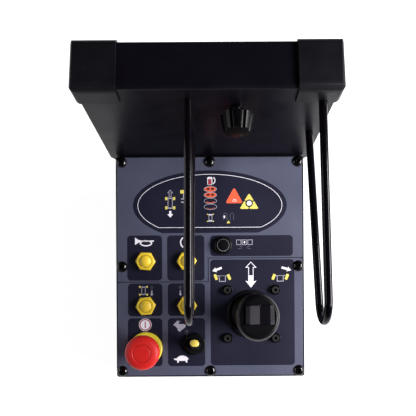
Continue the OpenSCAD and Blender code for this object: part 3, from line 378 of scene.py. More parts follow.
# Moulded silicone button boots: a soft gloss whose tone drifts a little over each boot.
AMBER_SILICONE = Finish(
    "amber_silicone_boot", "#e8c836", 0.45, Grain.SPARKED, 0.7, 0.02, mottle=0.08, mottle_mm=9, specular=0.35
)
# A back-lit white acrylic table: it glows a little, which washes out the shadows under the product.
FLOOR_PAPER = Finish(
    "white_light_table", "#b4b4b6", 0.75, Grain.SPARKED, 2.0, mottle=0.004, mottle_mm=300, glow=0.9
)

FINISH_OF_SLOT: dict[str, Finish] = {
    "box_paint": BOX_COAT,
    "panel_paint": PANEL_COAT,
    "hood_paint": HOOD_COAT,
    "overlay_print": SLATE_FILM,
    "rod_paint": ROD_ENAMEL,
    "cap_rubber": CAP_RUBBER,
    "black_screw": BLACK_OXIDE,
    "bright_steel": ZINC_STEEL,
    "black_plastic": BLACK_NYLON,
    "rocker_plastic": ROCKER_NYLON,
    "black_rubber": SOFT_RUBBER,
    "boss_paint": ROD_ENAMEL,
    "stop_red": RED_NYLON,
    "stop_yellow": YELLOW_NYLON,
    "button_yellow": AMBER_SILICONE,
    "tip_yellow": LEMON_NYLON,
}


class FinishShelf:
    """Builds each finish once and hands it out."""

    def __init__(self) -> None:
        """Starts with an empty shelf."""
        self._made: dict[str, bpy.types.Material] = {}

    def get(self, finish: Finish) -> bpy.types.Material:
        """Hands out a finish, and makes it the first time.

        Args:
            finish: The finish.

        Returns:
            Its material.
        """
        if finish.name not in self._made:
            self._made[finish.name] = finish.build()
        return self._made[finish.name]


@dataclass(frozen=True)
class PanelPlane:
    """The sloped face of the steel panel: a matrix from its own u, v, w, with the origin at its middle."""

    matrix: Matrix

    @classmethod
    def measured(cls, joints: list[dict]) -> PanelPlane:
        """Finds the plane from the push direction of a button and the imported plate.

        Args:
            joints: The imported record's joints.

        Returns:
            The plane of the plate's outer face.
        """
        push = next(Vector(j["axis"]) for j in joints if j["name"] == "horn_press")
        out = -push.normalized()
        right = Vector((1, 0, 0))
        up = out.cross(right)
        low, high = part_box("control_plate")
        face = (low + high) / 2 + out * HALF_PLATE_MM * MM
        turn = Matrix((right, up, out)).transposed().to_4x4()
        return cls(Matrix.Translation(face) @ turn)

    def at(self, u: float, v: float, w: float = 0.0) -> Matrix:
        """Returns the matrix of a spot on the panel, given in millimetres."""
        return self.matrix @ Matrix.Translation(Vector((u, v, w)) * MM)


def piece_from(
    work: bmesh.types.BMesh, name: str, material: bpy.types.Material, place: Matrix, smooth: bool = True
) -> bpy.types.Object:
    """Turns a finished bmesh into an object at the origin with its place in its mesh.

    Args:
        work: The bmesh, in metres in its own frame; it is freed.
        name: The piece's name.
        material: Its finish.
        place: Where its own frame stands in the console's frame.
        smooth: Whether faces shade smoothly.

    Returns:
        The linked object.
    """
    bmesh.ops.transform(work, matrix=place, verts=work.verts)
    bmesh.ops.remove_doubles(work, verts=work.verts, dist=MERGE_M)
    bmesh.ops.recalc_face_normals(work, faces=work.faces)
    for face in work.faces:
        face.smooth = smooth
    mesh = bpy.data.meshes.new(name)
    work.to_mesh(mesh)
    work.free()
    mesh.materials.append(material)
    piece = bpy.data.objects.new(name, mesh)
    bpy.context.scene.collection.objects.link(piece)
    return piece


def soften(piece: bpy.types.Object, width_mm: float, limit_deg: float = 40.0) -> None:
    """Rounds a piece's sharp edges by live modifiers, which leave its mesh alone.

    Args:
        piece: The piece or CAD node.
        width_mm: Width of the rounding.
        limit_deg: Edges that turn by less stay as they are.
    """
    piece.data.polygons.foreach_set("use_smooth", [True] * len(piece.data.polygons))
    weld = piece.modifiers.new("join", "WELD")
    weld.merge_threshold = WELD_MM * MM
    # flat faces become one face each, so that no bevel runs along a triangle's edge
    flat = piece.modifiers.new("flat", "DECIMATE")
    flat.decimate_type = "DISSOLVE"
    flat.angle_limit = math.radians(FLAT_DEG)
    bevel = piece.modifiers.new("edge", "BEVEL")
    bevel.width = width_mm * MM
    bevel.segments = 2
    bevel.limit_method = "ANGLE"
    bevel.angle_limit = math.radians(limit_deg)
    bevel.use_clamp_overlap = True
    bevel.face_strength_mode = "FSTR_AFFECTED"
    normals = piece.modifiers.new("normals", "WEIGHTED_NORMAL")
    normals.mode = "FACE_AREA_WITH_ANGLE"
    normals.use_face_influence = True
    normals.keep_sharp = False


def hollow(shape: bmesh.types.BMesh, stroke: float) -> None:
    """Keeps only a rim round a flat shape.

    Args:
        shape: The flat shape.
        stroke: Width of the rim; at 0 the shape stays whole.
    """
    if stroke <= 0:
        return
    rim = bmesh.ops.inset_region(
        shape, faces=shape.faces[:], thickness=stroke, use_even_offset=True, use_boundary=True
    )["faces"]
    inner = [f for f in shape.faces if f not in rim]
    bmesh.ops.delete(shape, geom=inner, context="FACES")


def round_corners(shape: bmesh.types.BMesh, r: float, segments: int) -> None:
    """Rounds every corner of a flat shape.

    Args:
        shape: The flat shape.
        r: How far the rounding reaches; at 0 the corners stay sharp.
        segments: Edges in each rounding.
    """
    if r <= 0:
        return
    bmesh.ops.bevel(
        shape,
        geom=shape.verts[:],
        offset=r,
        offset_type="OFFSET",
        segments=segments,
        profile=0.5,
        affect="VERTICES",
        material=-1,
    )


class InkSheet:
    """One printed ink: flat shapes in millimetres on the panel, made into a thin film."""

    def __init__(self, name: str, finish: Finish, top_mm: float, film_mm: float = 0.04) -> None:
        """Starts an empty sheet.

        Args:
            name: The piece's name.
            finish: The ink.
            top_mm: Height of the ink's face over the steel panel.
            film_mm: Thickness of the film.
        """
        self.name = name
        self.finish = finish
        self.top_mm = top_mm
        self.film_mm = film_mm
        self._all = bmesh.new()

    def lay(self, shape: bmesh.types.BMesh, at: Pair, turn: float = 0.0) -> None:
        """Adds a shape to the sheet.

        Args:
            shape: The flat shape; it is freed.
            at: Where its origin lies on the panel.
            turn: Degrees that it is turned by.
        """
        place = Matrix.Translation((at[0], at[1], 0)) @ Matrix.Rotation(math.radians(turn), 4, "Z")
        bmesh.ops.transform(shape, matrix=place, verts=shape.verts)
        scrap = bpy.data.meshes.new("ink_scrap")
        shape.to_mesh(scrap)
        shape.free()
        self._all.from_mesh(scrap)
        bpy.data.meshes.remove(scrap)

    def block(self, at: Pair, size: Pair, r: float = 0.0, turn: float = 0.0, stroke: float = 0.0) -> None:
        """Adds a rectangle.

        Args:
            at: Its middle.
            size: Its width and height.
            r: Rounding of its corners.
            turn: Degrees that it is turned by.
            stroke: Width of its outline, or 0 for a full one.
        """
        shape = bmesh.new()
        bmesh.ops.create_grid(shape, x_segments=1, y_segments=1, size=0.5)
        bmesh.ops.scale(shape, vec=(size[0], size[1], 1), verts=shape.verts)
        round_corners(shape, r, BLOCK_CORNER_EDGES)
        hollow(shape, stroke)
        self.lay(shape, at, turn)

    def disc(self, at: Pair, r: float, squash: float = 1.0, stroke: float = 0.0) -> None:
        """Adds a disc or an ellipse.

        Args:
            at: Its middle.
            r: Half its width.
            squash: Its height as a share of its width.
            stroke: Width of its outline, or 0 for a full one.
        """
        shape = bmesh.new()
        bmesh.ops.create_circle(shape, cap_ends=True, segments=DISC_EDGES, radius=r)
        bmesh.ops.scale(shape, vec=(1, squash, 1), verts=shape.verts)
        hollow(shape, stroke)
        self.lay(shape, at)

    def bow(
        self, at: Pair, r: float, stroke: float, first: float, sweep: float, squash: float = 1.0
    ) -> None:
        """Adds an arc.

        Args:
            at: Its centre.
            r: Its mean radius.
            stroke: Its width.
            first: The angle in degrees at which it starts.
            sweep: The degrees that it spans.
            squash: Its height as a share of its width.
        """
        shape = bmesh.new()
        ends = [shape.verts.new((r + side * stroke / 2, 0, 0)) for side in (-1, 1)]
        edge = shape.edges.new(ends)
        turn = Matrix.Rotation(math.radians(first), 3, "Z")
        bmesh.ops.rotate(shape, cent=(0, 0, 0), matrix=turn, verts=ends)
        bmesh.ops.spin(
            shape,
            geom=[*ends, edge],
            cent=(0, 0, 0),
            axis=(0, 0, 1),
            angle=math.radians(sweep),
            steps=BOW_EDGES,
        )
        bmesh.ops.scale(shape, vec=(1, squash, 1), verts=shape.verts)
        self.lay(shape, at)

    def shape(
        self, corners: Outline, at: Pair, turn: float = 0.0, stroke: float = 0.0, r: float = 0.0
    ) -> None:
        """Adds a closed outline given by its corners.

        Args:
            corners: The corners, round the outline.
            at: Where their origin lies.
            turn: Degrees that it is turned by.
            stroke: Width of its outline, or 0 for a full one.
            r: Rounding of its corners.
        """
        form = bmesh.new()
        face = form.faces.new([form.verts.new((x, y, 0)) for x, y in corners])
        face.normal_update()
        if face.normal.z < 0:
            face.normal_flip()
        round_corners(form, r, SHAPE_CORNER_EDGES)
        hollow(form, stroke)
        self.lay(form, at, turn)

    def build(self, plane: PanelPlane, shelf: FinishShelf) -> bpy.types.Object:
        """Makes the film and lets it ride on the console.

        Args:
            plane: The panel's plane.
            shelf: The finishes.

        Returns:
            The printed piece.
        """
        for vert in self._all.verts:
            vert.co.z = 0.0
        bmesh.ops.recalc_face_normals(self._all, faces=self._all.faces)
        for face in self._all.faces:
            if face.normal.z < 0:
                face.normal_flip()
        drawn = bmesh.ops.extrude_face_region(self._all, geom=self._all.faces[:])["geom"]
        raised = [g for g in drawn if isinstance(g, bmesh.types.BMVert)]
        bmesh.ops.translate(self._all, vec=(0, 0, self.film_mm), verts=raised)
        bmesh.ops.scale(self._all, vec=(MM, MM, MM), verts=self._all.verts)
        place = plane.at(0, 0, self.top_mm - self.film_mm)
        piece = piece_from(self._all, self.name, shelf.get(self.finish), place, smooth=False)
        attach(piece, "console")
        LOG.info("printed %s", self.name)
        return piece


@dataclass(frozen=True)
class Field:
    """A rounded navy field on the overlay, in millimetres from the panel's middle."""

    left: float
    right: float
    top: float
    low: float

    def lay_on(self, sheet: InkSheet, r: float) -> None:
        """Adds the field to a sheet, with corners of radius r."""
        middle = ((self.left + self.right) / 2, (self.top + self.low) / 2)
        sheet.block(middle, (self.right - self.left, self.top - self.low), r=r)


@dataclass(frozen=True)
class ChassisSign:
    """A chassis seen from above: a body outline, two axles and four yellow wheels, in millimetres."""

    at: Pair
    half_w: float
    half_l: float
    wheel: Pair
    track: float
    axle: float
    line_w: float = 0.7
    axle_w: float = 0.6
    wheel_r: float = 0.4

    def lay_on(self, pale: InkSheet, yellow: InkSheet) -> None:
        """Adds the body and axles to one sheet and the wheels to another.

        Args:
            pale: The sheet of the body and the axles.
            yellow: The sheet of the wheels.
        """
        u, v = self.at
        pale.block(self.at, (2 * self.half_w, 2 * self.half_l), stroke=self.line_w)
        for end in (-1, 1):
            pale.block((u, v + end * self.axle), (2 * self.track, self.axle_w))
            for side in (-1, 1):
                hub = (u + side * self.track, v + end * self.axle)
                yellow.block(hub, self.wheel, r=self.wheel_r)


def upright_arrow(tip: float, barb: float, tail: float, half_head: float, half_stem: float) -> Outline:
    """Draws an upright arrow round the line x = 0, in millimetres; it points down with its tip lowest.

    Args:
        tip: Height of its tip.
        barb: Height of its barbs.
        tail: Height of its tail's end.
        half_head: Half the head's width.
        half_stem: Half the stem's width.

    Returns:
        The arrow's corners.
    """
    right = [(half_head, barb), (half_stem, barb), (half_stem, tail)]
    return [(0.0, tip), *right, *[(-x, y) for x, y in reversed(right)]]


BELL: Outline = [
    (-11.6, 5.3), (-10, 4.0), (-7.2, 2.2), (-3.6, 1.5), (-3.6, -0.6), (-6.4, -0.9), (-8.9, -2.2),
    (-11.6, -4.0),
]
HARE: Outline = [
    (-7.7, 0.9), (-5.8, 3.1), (-1.7, 7.0), (-1.2, 5.0), (1.6, 6.3), (-0.6, 4.0), (-1.5, 2.6), (1.3, 2.1),
    (5.6, 2.4), (8.0, 0.5), (7.6, -1.3), (5.0, -3.6), (2.4, -5.1), (0.9, -7.2), (-1.0, -6.3), (-2.5, -4.9),
    (-1.9, -3.5), (-3.6, -2.1), (-5.2, -0.3),
]
TORTOISE: Outline = [
    (-9.3, 0.4), (-7.8, 1.2), (-6.0, 0.6), (-4.1, 2.6), (-1.5, 4.2), (2.2, 4.6), (6.0, 3.5), (7.9, 1.7),
    (9.3, 0.0), (7.6, -0.6), (7.4, -4.1), (5.8, -4.1), (5.2, -2.0), (-2.6, -2.0), (-3.1, -4.3), (-4.6, -4.3),
    (-4.9, -1.5), (-7.8, -0.7),
]
NOTCH: Outline = [(0.0, 0.0), (5.6, 0.0), (2.2, -0.6), (0.7, -1.7), (0.0, -4.2)]
TURN_ARROW: Outline = [
    (6.1, 0), (1.0, 3.1), (1.6, 1.3), (-6.0, 1.3), (-6.0, -1.3), (1.6, -1.3), (1.0, -3.1),
]
DRIVE_TAIL: Outline = [
    (-3.2, -12.0), (3.2, -12.0), (3.2, -18.9), (6.8, -17.9), (0, -26.4), (-6.8, -17.9), (-3.2, -18.9),
]


@dataclass
class OverlayPrint:
    """Everything that is printed on the two overlays, in millimetres from the panel's middle."""

    film_top: float = 0.5
    ink_up: float = 0.03
    ink_step: float = 0.015
    over_up: float = 0.15
    top_up: float = 0.17
    off_centre: Pair = (-0.7, 0.0)
    field_r: float = 4.6
    fields: tuple[Field, ...] = (
        Field(-100.7, -58.0, 38.2, -17.0),
        Field(-51.8, -6.2, 38.0, -17.3),
        Field(-100.0, -58.0, -20.7, -60.5),
        Field(-51.2, -5.9, -20.7, -60.5),
        Field(-100.4, -58.2, -63.3, -122.0),
        Field(-51.4, -5.9, -63.3, -122.0),
        Field(1.1, 102.1, 37.7, 12.2),
        Field(0.9, 103.8, 8.0, -121.4),
    )
    notch_left_at: Pair = (-113.9, -19.3)
    notch_right_at: Pair = (115.3, 9.7)
    oval_at: Pair = (0.9, 74.5)
    oval_half: Pair = (94.2, 42.9)
    oval_flat: float = -33.6
    line_half: Pair = (88.5, 38.4)
    line_flat: float = -27.2
    line_w: float = 0.58
    horn_at: Pair = (-79.5, 30.6)
    power_at: Pair = (-28.0, 29.4)
    chassis: ChassisSign = ChassisSign((-81.0, -29.5), 2.5, 4.6, (1.9, 2.4), 4.5, 4.8)
    small_arrows_at: tuple[Pair, Pair] = ((-70.9, -29.4), (-35.9, -29.4))
    stop_at: Pair = (-79.1, -71.2)
    hare_at: Pair = (-37.3, -72.7)
    tortoise_at: Pair = (-35.4, -113.6)
    toggle_mark_at: Pair = (-28.4, -80.6)
    window_at: Pair = (42.9, 29.2)
    drive_at: Pair = (50.6, 0.0)
    turn_arrows: tuple[tuple[float, float, float], ...] = ((9.2, -4.0, 199.0), (94.0, -3.6, -17.0))
    steered_axles: tuple[tuple[float, float, float], ...] = ((15.7, -15.2, 22.0), (86.5, -15.3, -22.0))
    travel: ChassisSign = ChassisSign((-47.7, 77.5), 3.0, 6.7, (2.7, 3.7), 4.8, 5.7)
    platform_at: Pair = (-32.0, 91.4)
    fuel_at: Pair = (1.0, 104.5)
    level_at: Pair = (1.5, 94.4)
    level_pitch: float = 7.2
    tilt: ChassisSign = ChassisSign((1.5, 59.3), 2.2, 3.4, (1.5, 1.3), 3.5, 4.3)
    base_at: Pair = (23.7, 60.2)
    warning_at: Pair = (30.7, 84.9)
    fault_at: Pair = (49.0, 78.0)
    sheets: dict[str, InkSheet] = field(default_factory=dict)

    def _open_sheets(self) -> None:
        """Starts one sheet for each ink, each a hair over the one before, and two over all of them."""
        inks = [("navy", NAVY_INK), ("white", WHITE_INK), ("pale", PALE_INK), ("faint", FAINT_INK)]
        inks += [("yellow", YELLOW_INK), ("orange", ORANGE_INK), ("red", RED_INK)]
        for step, (key, finish) in enumerate(inks):
            top = self.film_top + self.ink_up + self.ink_step * step
            self.sheets[key] = InkSheet(f"print_{key}", finish, top)
        for key, finish, up in (("navy", NAVY_INK, self.over_up), ("white", WHITE_INK, self.top_up)):
            self.sheets[f"{key}_over"] = InkSheet(f"print_{key}_over", finish, self.film_top + up)

    def _oval(self, key: str, half: Pair, flat: float, stroke: float = 0.0) -> None:
        """Adds the display's outline: an ellipse cut flat along its lower side.

        Args:
            key: The sheet's short name.
            half: Half its width and height.
            flat: Height of the cut over its middle.
            stroke: Width of its outline, or 0 for a full one.
        """
        shape = bmesh.new()
        bmesh.ops.create_circle(shape, cap_ends=True, segments=OVAL_EDGES, radius=1.0)
        bmesh.ops.scale(shape, vec=(half[0], half[1], 1), verts=shape.verts)
        whole = shape.verts[:] + shape.edges[:] + shape.faces[:]
        bmesh.ops.bisect_plane(
            shape, geom=whole, plane_co=(0, flat, 0), plane_no=(0, -1, 0), clear_outer=True
        )
        hollow(shape, stroke)
        self.sheets[key].lay(shape, self.oval_at)

    def _notches(self) -> None:
        """Adds the bare dark corners where the lower film is cut round beside the seam."""
        for mirror, at in ((1, self.notch_left_at), (-1, self.notch_right_at)):
            self.sheets["navy"].shape([(mirror * x, y) for x, y in NOTCH], at)

    def _button_signs(self) -> None:
        """Adds the signs over the four yellow buttons."""
        white = self.sheets["white"]
        # horn: a bell at the left, a straight tube and a wound loop
        u, v = self.horn_at
        white.shape(BELL, self.horn_at)
        white.block((u + 3.9, v + 0.7), (15.4, 1.6), r=0.5)
        white.disc((u + 1.9, v - 2.0), 7.6, squash=0.5, stroke=1.5)
        # power: an open ring and a bar, half of them behind the guard hoop
        u, v = self.power_at
        white.bow(self.power_at, 7.2, 1.5, 126, 108)
        white.block((u - 0.6, v), (1.5, 6.0), r=0.6)
        self.chassis.lay_on(self.sheets["pale"], self.sheets["yellow"])
        # a faint outlined arrow up and a filled arrow down
        for u, v in self.small_arrows_at:
            self.sheets["faint"].shape(upright_arrow(3.4, 0.9, -2.8, 2.0, 0.8), (u, v + 2.9), stroke=0.35)
            self.sheets["pale"].shape(upright_arrow(-3.4, -0.9, 3.0, 2.0, 0.75), (u, v - 3.2))

    def _setting_signs(self) -> None:
        """Adds the signs by the emergency stop and by the speed toggle."""
        self.sheets["white"].disc(self.stop_at, 7.7)
        self.sheets["red"].disc(self.stop_at, 7.1, stroke=1.35)
        self.sheets["red"].block(self.stop_at, (1.25, 8.0), r=0.4)
        self.sheets["pale"].shape(HARE, self.hare_at)
        self.sheets["white"].shape(TORTOISE, self.tortoise_at)
        self.sheets["faint"].shape(upright_arrow(3.6, 0.8, -3.4, 2.2, 1.0), self.toggle_mark_at, stroke=0.4)

    def _window_sign(self) -> None:
        """Adds the row of three frames by the black button."""
        u, v = self.window_at
        for i in (-1, 0, 1):
            self.sheets["pale"].block((u + i * 6.9, v), (6.1, 6.4), stroke=0.65)
        self.sheets["white"].shape([(0, 2.0), (1.1, 0), (0, -2.0), (-1.1, 0)], self.window_at)
        for i in (-1, 1):
            self.sheets["faint"].block((u + i * 4.3, v - 5.2), (4.2, 0.5), turn=i * 14)
            self.sheets["faint"].block((u + i * 5.6, v - 7.6), (5.0, 0.5), turn=-i * 10)

    def _drive_signs(self) -> None:
        """Adds the signs above the drive lever: the drive arrow, two turn arrows and two steered axles."""
        white, pale, yellow = self.sheets["white"], self.sheets["pale"], self.sheets["yellow"]
        white.shape(upright_arrow(5.4, -2.0, -12.2, 7.0, 3.2), self.drive_at, stroke=0.85)
        white.shape(DRIVE_TAIL, self.drive_at)
        for u, v, turn in self.turn_arrows:
            white.shape(TURN_ARROW, (u, v), turn=turn)
        for u, v, lean in self.steered_axles:
            pale.block((u, v), (8.2, 7.6), stroke=0.8)
            pale.block((u, v + 3.4), (12.4, 0.9))
            for side in (-1, 1):
                yellow.block((u + side * 8.1, v + 1.9), (3.3, 7.2), r=0.9, turn=lean)

    def _travel_signs(self) -> None:
        """Adds the display's left signs: the travelling chassis and the raised platform."""
        white, pale, yellow = self.sheets["white"], self.sheets["pale"], self.sheets["yellow"]
        self.travel.lay_on(pale, yellow)
        pale.shape(upright_arrow(16.5, 12.4, 7.8, 3.5, 1.5), self.travel.at, stroke=0.6)
        white.shape(upright_arrow(-17.6, -13.4, -9.4, 3.6, 1.3), self.travel.at)
        # the platform, most of it behind the guard hoop
        u, v = self.platform_at
        yellow.block(self.platform_at, (6.5, 4.3), r=0.4)
        pale.block((u + 0.8, v - 5.4), (1.2, 5.4))
        pale.block((u - 0.4, v - 8.8), (4.0, 1.1))
        pale.block((u - 0.4, v - 12.8), (4.2, 1.4))

    def _level_signs(self) -> None:
        """Adds the display's middle signs: the fuel pump, the level rings and the tilted chassis."""
        white, pale, red = self.sheets["white"], self.sheets["pale"], self.sheets["red"]
        orange, over = self.sheets["orange"], self.sheets["navy_over"]
        u, v = self.fuel_at
        white.block(self.fuel_at, (6.2, 9.8), r=1.4)
        red.block((u - 0.1, v - 1.1), (4.4, 6.6), r=0.5)
        white.block((u + 0.2, v + 2.5), (2.6, 2.2), r=0.5)
        white.bow((u + 3.2, v + 0.5), 3.1, 1.1, -80, 150, squash=1.25)
        # two full rings with a pair of spots, one with a low arc and one with a thin arc
        u, v = self.level_at
        for i in range(4):
            row = v - self.level_pitch * i
            pale.disc((u, row), 8.0, squash=0.45, stroke=0.5)
            if i < 2:
                orange.disc((u, row), 7.3, squash=0.42)
                for side in (-1, 1):
                    over.disc((u + side * 2.7, row + 0.3), 1.9, squash=0.62)
            else:
                orange.bow((u, row), 5.2, 2.0 if i == 2 else 0.7, 205, 130, squash=0.45)
        u, v = self.tilt.at
        self.tilt.lay_on(pale, self.sheets["yellow"])
        for end in (-1, 1):
            white.block((u, v + end * 3.9), (5.0, 1.1), r=0.4)

    def _base_sign(self) -> None:
        """Adds the levelling sign: a dashed base, a dot and a small triangle."""
        u, v = self.base_at
        self.sheets["white"].disc((u - 5.4, v + 0.2), 1.2, squash=1.5)
        for side in (-1, 1):
            self.sheets["faint"].block((u + side * 2.0, v), (0.5, 8.0))
            self.sheets["faint"].block((u + side * 6.0, v), (0.5, 6.4))
            self.sheets["faint"].block((u + side * 4.5, v + 4.6), (3.2, 0.5))
        self.sheets["yellow"].shape([(0, 1.8), (2.2, -1.6), (-2.2, -1.6)], (u - 0.2, v - 6.0), r=0.3)

    def _lamp_signs(self) -> None:
        """Adds the two lamps' triangles: an orange one with a small mark and a yellow one with a wheel."""
        over, top_white = self.sheets["navy_over"], self.sheets["white_over"]
        u, v = self.warning_at
        self.sheets["orange"].shape([(0, 12.0), (10.9, -7.9), (-10.9, -7.9)], self.warning_at, r=3.3)
        mark = [(-2.6, -1.7), (-0.8, 1.7), (0.6, 0.4), (1.2, 1.2), (2.7, -1.7)]
        top_white.shape(mark, (u + 0.3, v - 4.0), stroke=0.45)
        self.sheets["yellow"].shape([(0, 11.4), (11.8, -8.0), (-11.8, -8.0)], self.fault_at, r=2.2)
        hub = Vector(self.fault_at) - Vector((0, 1.1))
        over.disc(hub[:], 4.6)
        for angle in (30, 150, 270):
            turn = math.radians(angle)
            spoke = hub + 5.6 * Vector((math.cos(turn), math.sin(turn)))
            over.block(spoke[:], (3.6, 1.3), turn=angle)
        top_white.disc(hub[:], 3.0)

    def build(self, plane: PanelPlane, shelf: FinishShelf) -> None:
        """Prints every field and sign.

        Args:
            plane: The panel's plane.
            shelf: The finishes.
        """
        self._open_sheets()
        for cell in self.fields:
            cell.lay_on(self.sheets["navy"], self.field_r)
        self._oval("navy", self.oval_half, self.oval_flat)
        self._oval("white", self.line_half, self.line_flat, self.line_w)
        self._notches()
        self._button_signs()
        self._setting_signs()
        self._window_sign()
        self._drive_signs()
        self._travel_signs()
        self._level_signs()
        self._base_sign()
        self._lamp_signs()
        printed = PanelPlane(plane.at(*self.off_centre))
        for sheet in self.sheets.values():
            sheet.build(printed, shelf)


@dataclass(frozen=True)
class LeverFrame:
    """The lever's own frame: the origin on its pivot and +Z up the leaned rod."""

    pivot: Vector
    axis: Vector
    panel_mm: float

    @classmethod
    def measured(cls, joints: list[dict], plane: PanelPlane) -> LeverFrame:
        """Finds the frame from the lever's and the rocker's joints.

        Args:
            joints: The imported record's joints.
            plane: The panel's plane.

        Returns:
            The lever's frame, with the panel's height over the pivot.
        """
        place = {j["name"]: Vector(j["pos_m"]) for j in joints if "pos_m" in j}
        pivot = place["lever_tilt"]
        axis = place["steering_rock"] - pivot
        axis.x = 0.0
        out = plane.matrix.to_3x3().col[2]
        return cls(pivot, axis.normalized(), (plane.matrix.translation - pivot).dot(out) / MM)

    def at(self, side_mm: float, back_mm: float, up_mm: float) -> Matrix:
        """Places a spot on the lever.

        Args:
            side_mm: How far it lies to the right of the lever's axis.
            back_mm: How far it lies behind the axis.
            up_mm: Its height over the panel's face, measured along the lever.

        Returns:
            The spot's matrix, with +Z up the lever.
        """
        side = Vector((1, 0, 0))
        turn = Matrix((side, self.axis.cross(side), self.axis)).transposed().to_4x4()
        shift = Vector((side_mm, back_mm, self.panel_mm + up_mm)) * MM
        return Matrix.Translation(self.pivot) @ turn @ Matrix.Translation(shift)


def turned(outline: Outline, segments: int, closed: bool) -> bmesh.types.BMesh:
    """Spins an outline one full turn round its own Z axis.

    Args:
        outline: Radius and height of each corner, in millimetres.
        segments: Steps of the turn.
        closed: Whether the last corner joins the first, as in a ring's section.

    Returns:
        The turned bmesh, in metres.
    """
    work = bmesh.new()
    verts = [work.verts.new((r * MM, 0, z * MM)) for r, z in outline]
    ends = verts[1:] + verts[:1] if closed else verts[1:]
    edges = [work.edges.new(pair) for pair in zip(verts, ends)]
    bmesh.ops.spin(
        work,
        geom=verts + edges,
        cent=(0, 0, 0),
        axis=(0, 0, 1),
        angle=math.tau,
        steps=segments,
        use_merge=True,
    )
    return work


@dataclass
class LeverBoot:
    """The rubber bellows between the lever's ring and its handle, in millimetres."""

    ring_r: float = 26.0
    ring_gap: float = 1.2
    top_r: float = 13.5
    height: float = 42.0
    head_room: float = 1.4
    seat: float = 1.9
    wall: float = 1.6
    inner_drop: float = 0.2
    folds: int = 4
    fold_depth: float = 2.2
    slim_power: float = 1.35
    steps: int = 96
    inner_every: int = 8
    segments: int = 96
    clamped: float = 3.0

    def _radius(self, s: float) -> float:
        """Works out the bellows' outer radius.

        Args:
            s: Share of the height.

        Returns:
            The radius, slimmer and with shallower folds toward the top.
        """
        slim = (self.ring_r - self.ring_gap - self.top_r) * s**self.slim_power
        fold = self.fold_depth * (1 - s) * (0.5 - 0.5 * math.cos(2 * math.pi * self.folds * s))
        return self.ring_r - self.ring_gap - slim - fold

    def _section(self) -> Outline:
        """Draws the wall's closed section, up its outside and down its plainer inside.

        Returns:
            Radius and height of each corner.
        """
        span = self.height - self.head_room
        shares = [i / self.steps for i in range(self.steps + 1)]
        outside = [(self._radius(s), span * s) for s in shares]
        lip = (self._radius(1) - self.wall, span)
        inside = [
            (self._radius(s) - self.wall, span * s - self.inner_drop) for s in shares[:: -self.inner_every]
        ]
        return [*outside, lip, *inside]

    def build(self, lever: LeverFrame, shelf: FinishShelf) -> bpy.types.Object:
        """Spins the bellows round the lever's axis.

        Args:
            lever: The lever's frame.
            shelf: The finishes.

        Returns:
            The boot, which stands for the CAD boot.
        """
        work = turned(self._section(), self.segments, closed=True)
        piece = piece_from(work, "lever_boot_bellows", shelf.get(SOFT_RUBBER), lever.at(0, 0, self.seat))
        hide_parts("lever_boot")
        start = lever.at(0, 0, self.seat + self.clamped).translation
        end = lever.at(0, 0, self.seat + self.height - self.clamped).translation
        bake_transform(piece)
        LOG.info("built the lever boot")
        return piece


@dataclass(frozen=True)
class Ring:
    """One cross-section of the grip: height, half widths and centre in millimetres."""

    up: float
    half_w: float
    half_l: float
    side: float = 0.0
    back: float = 0.0


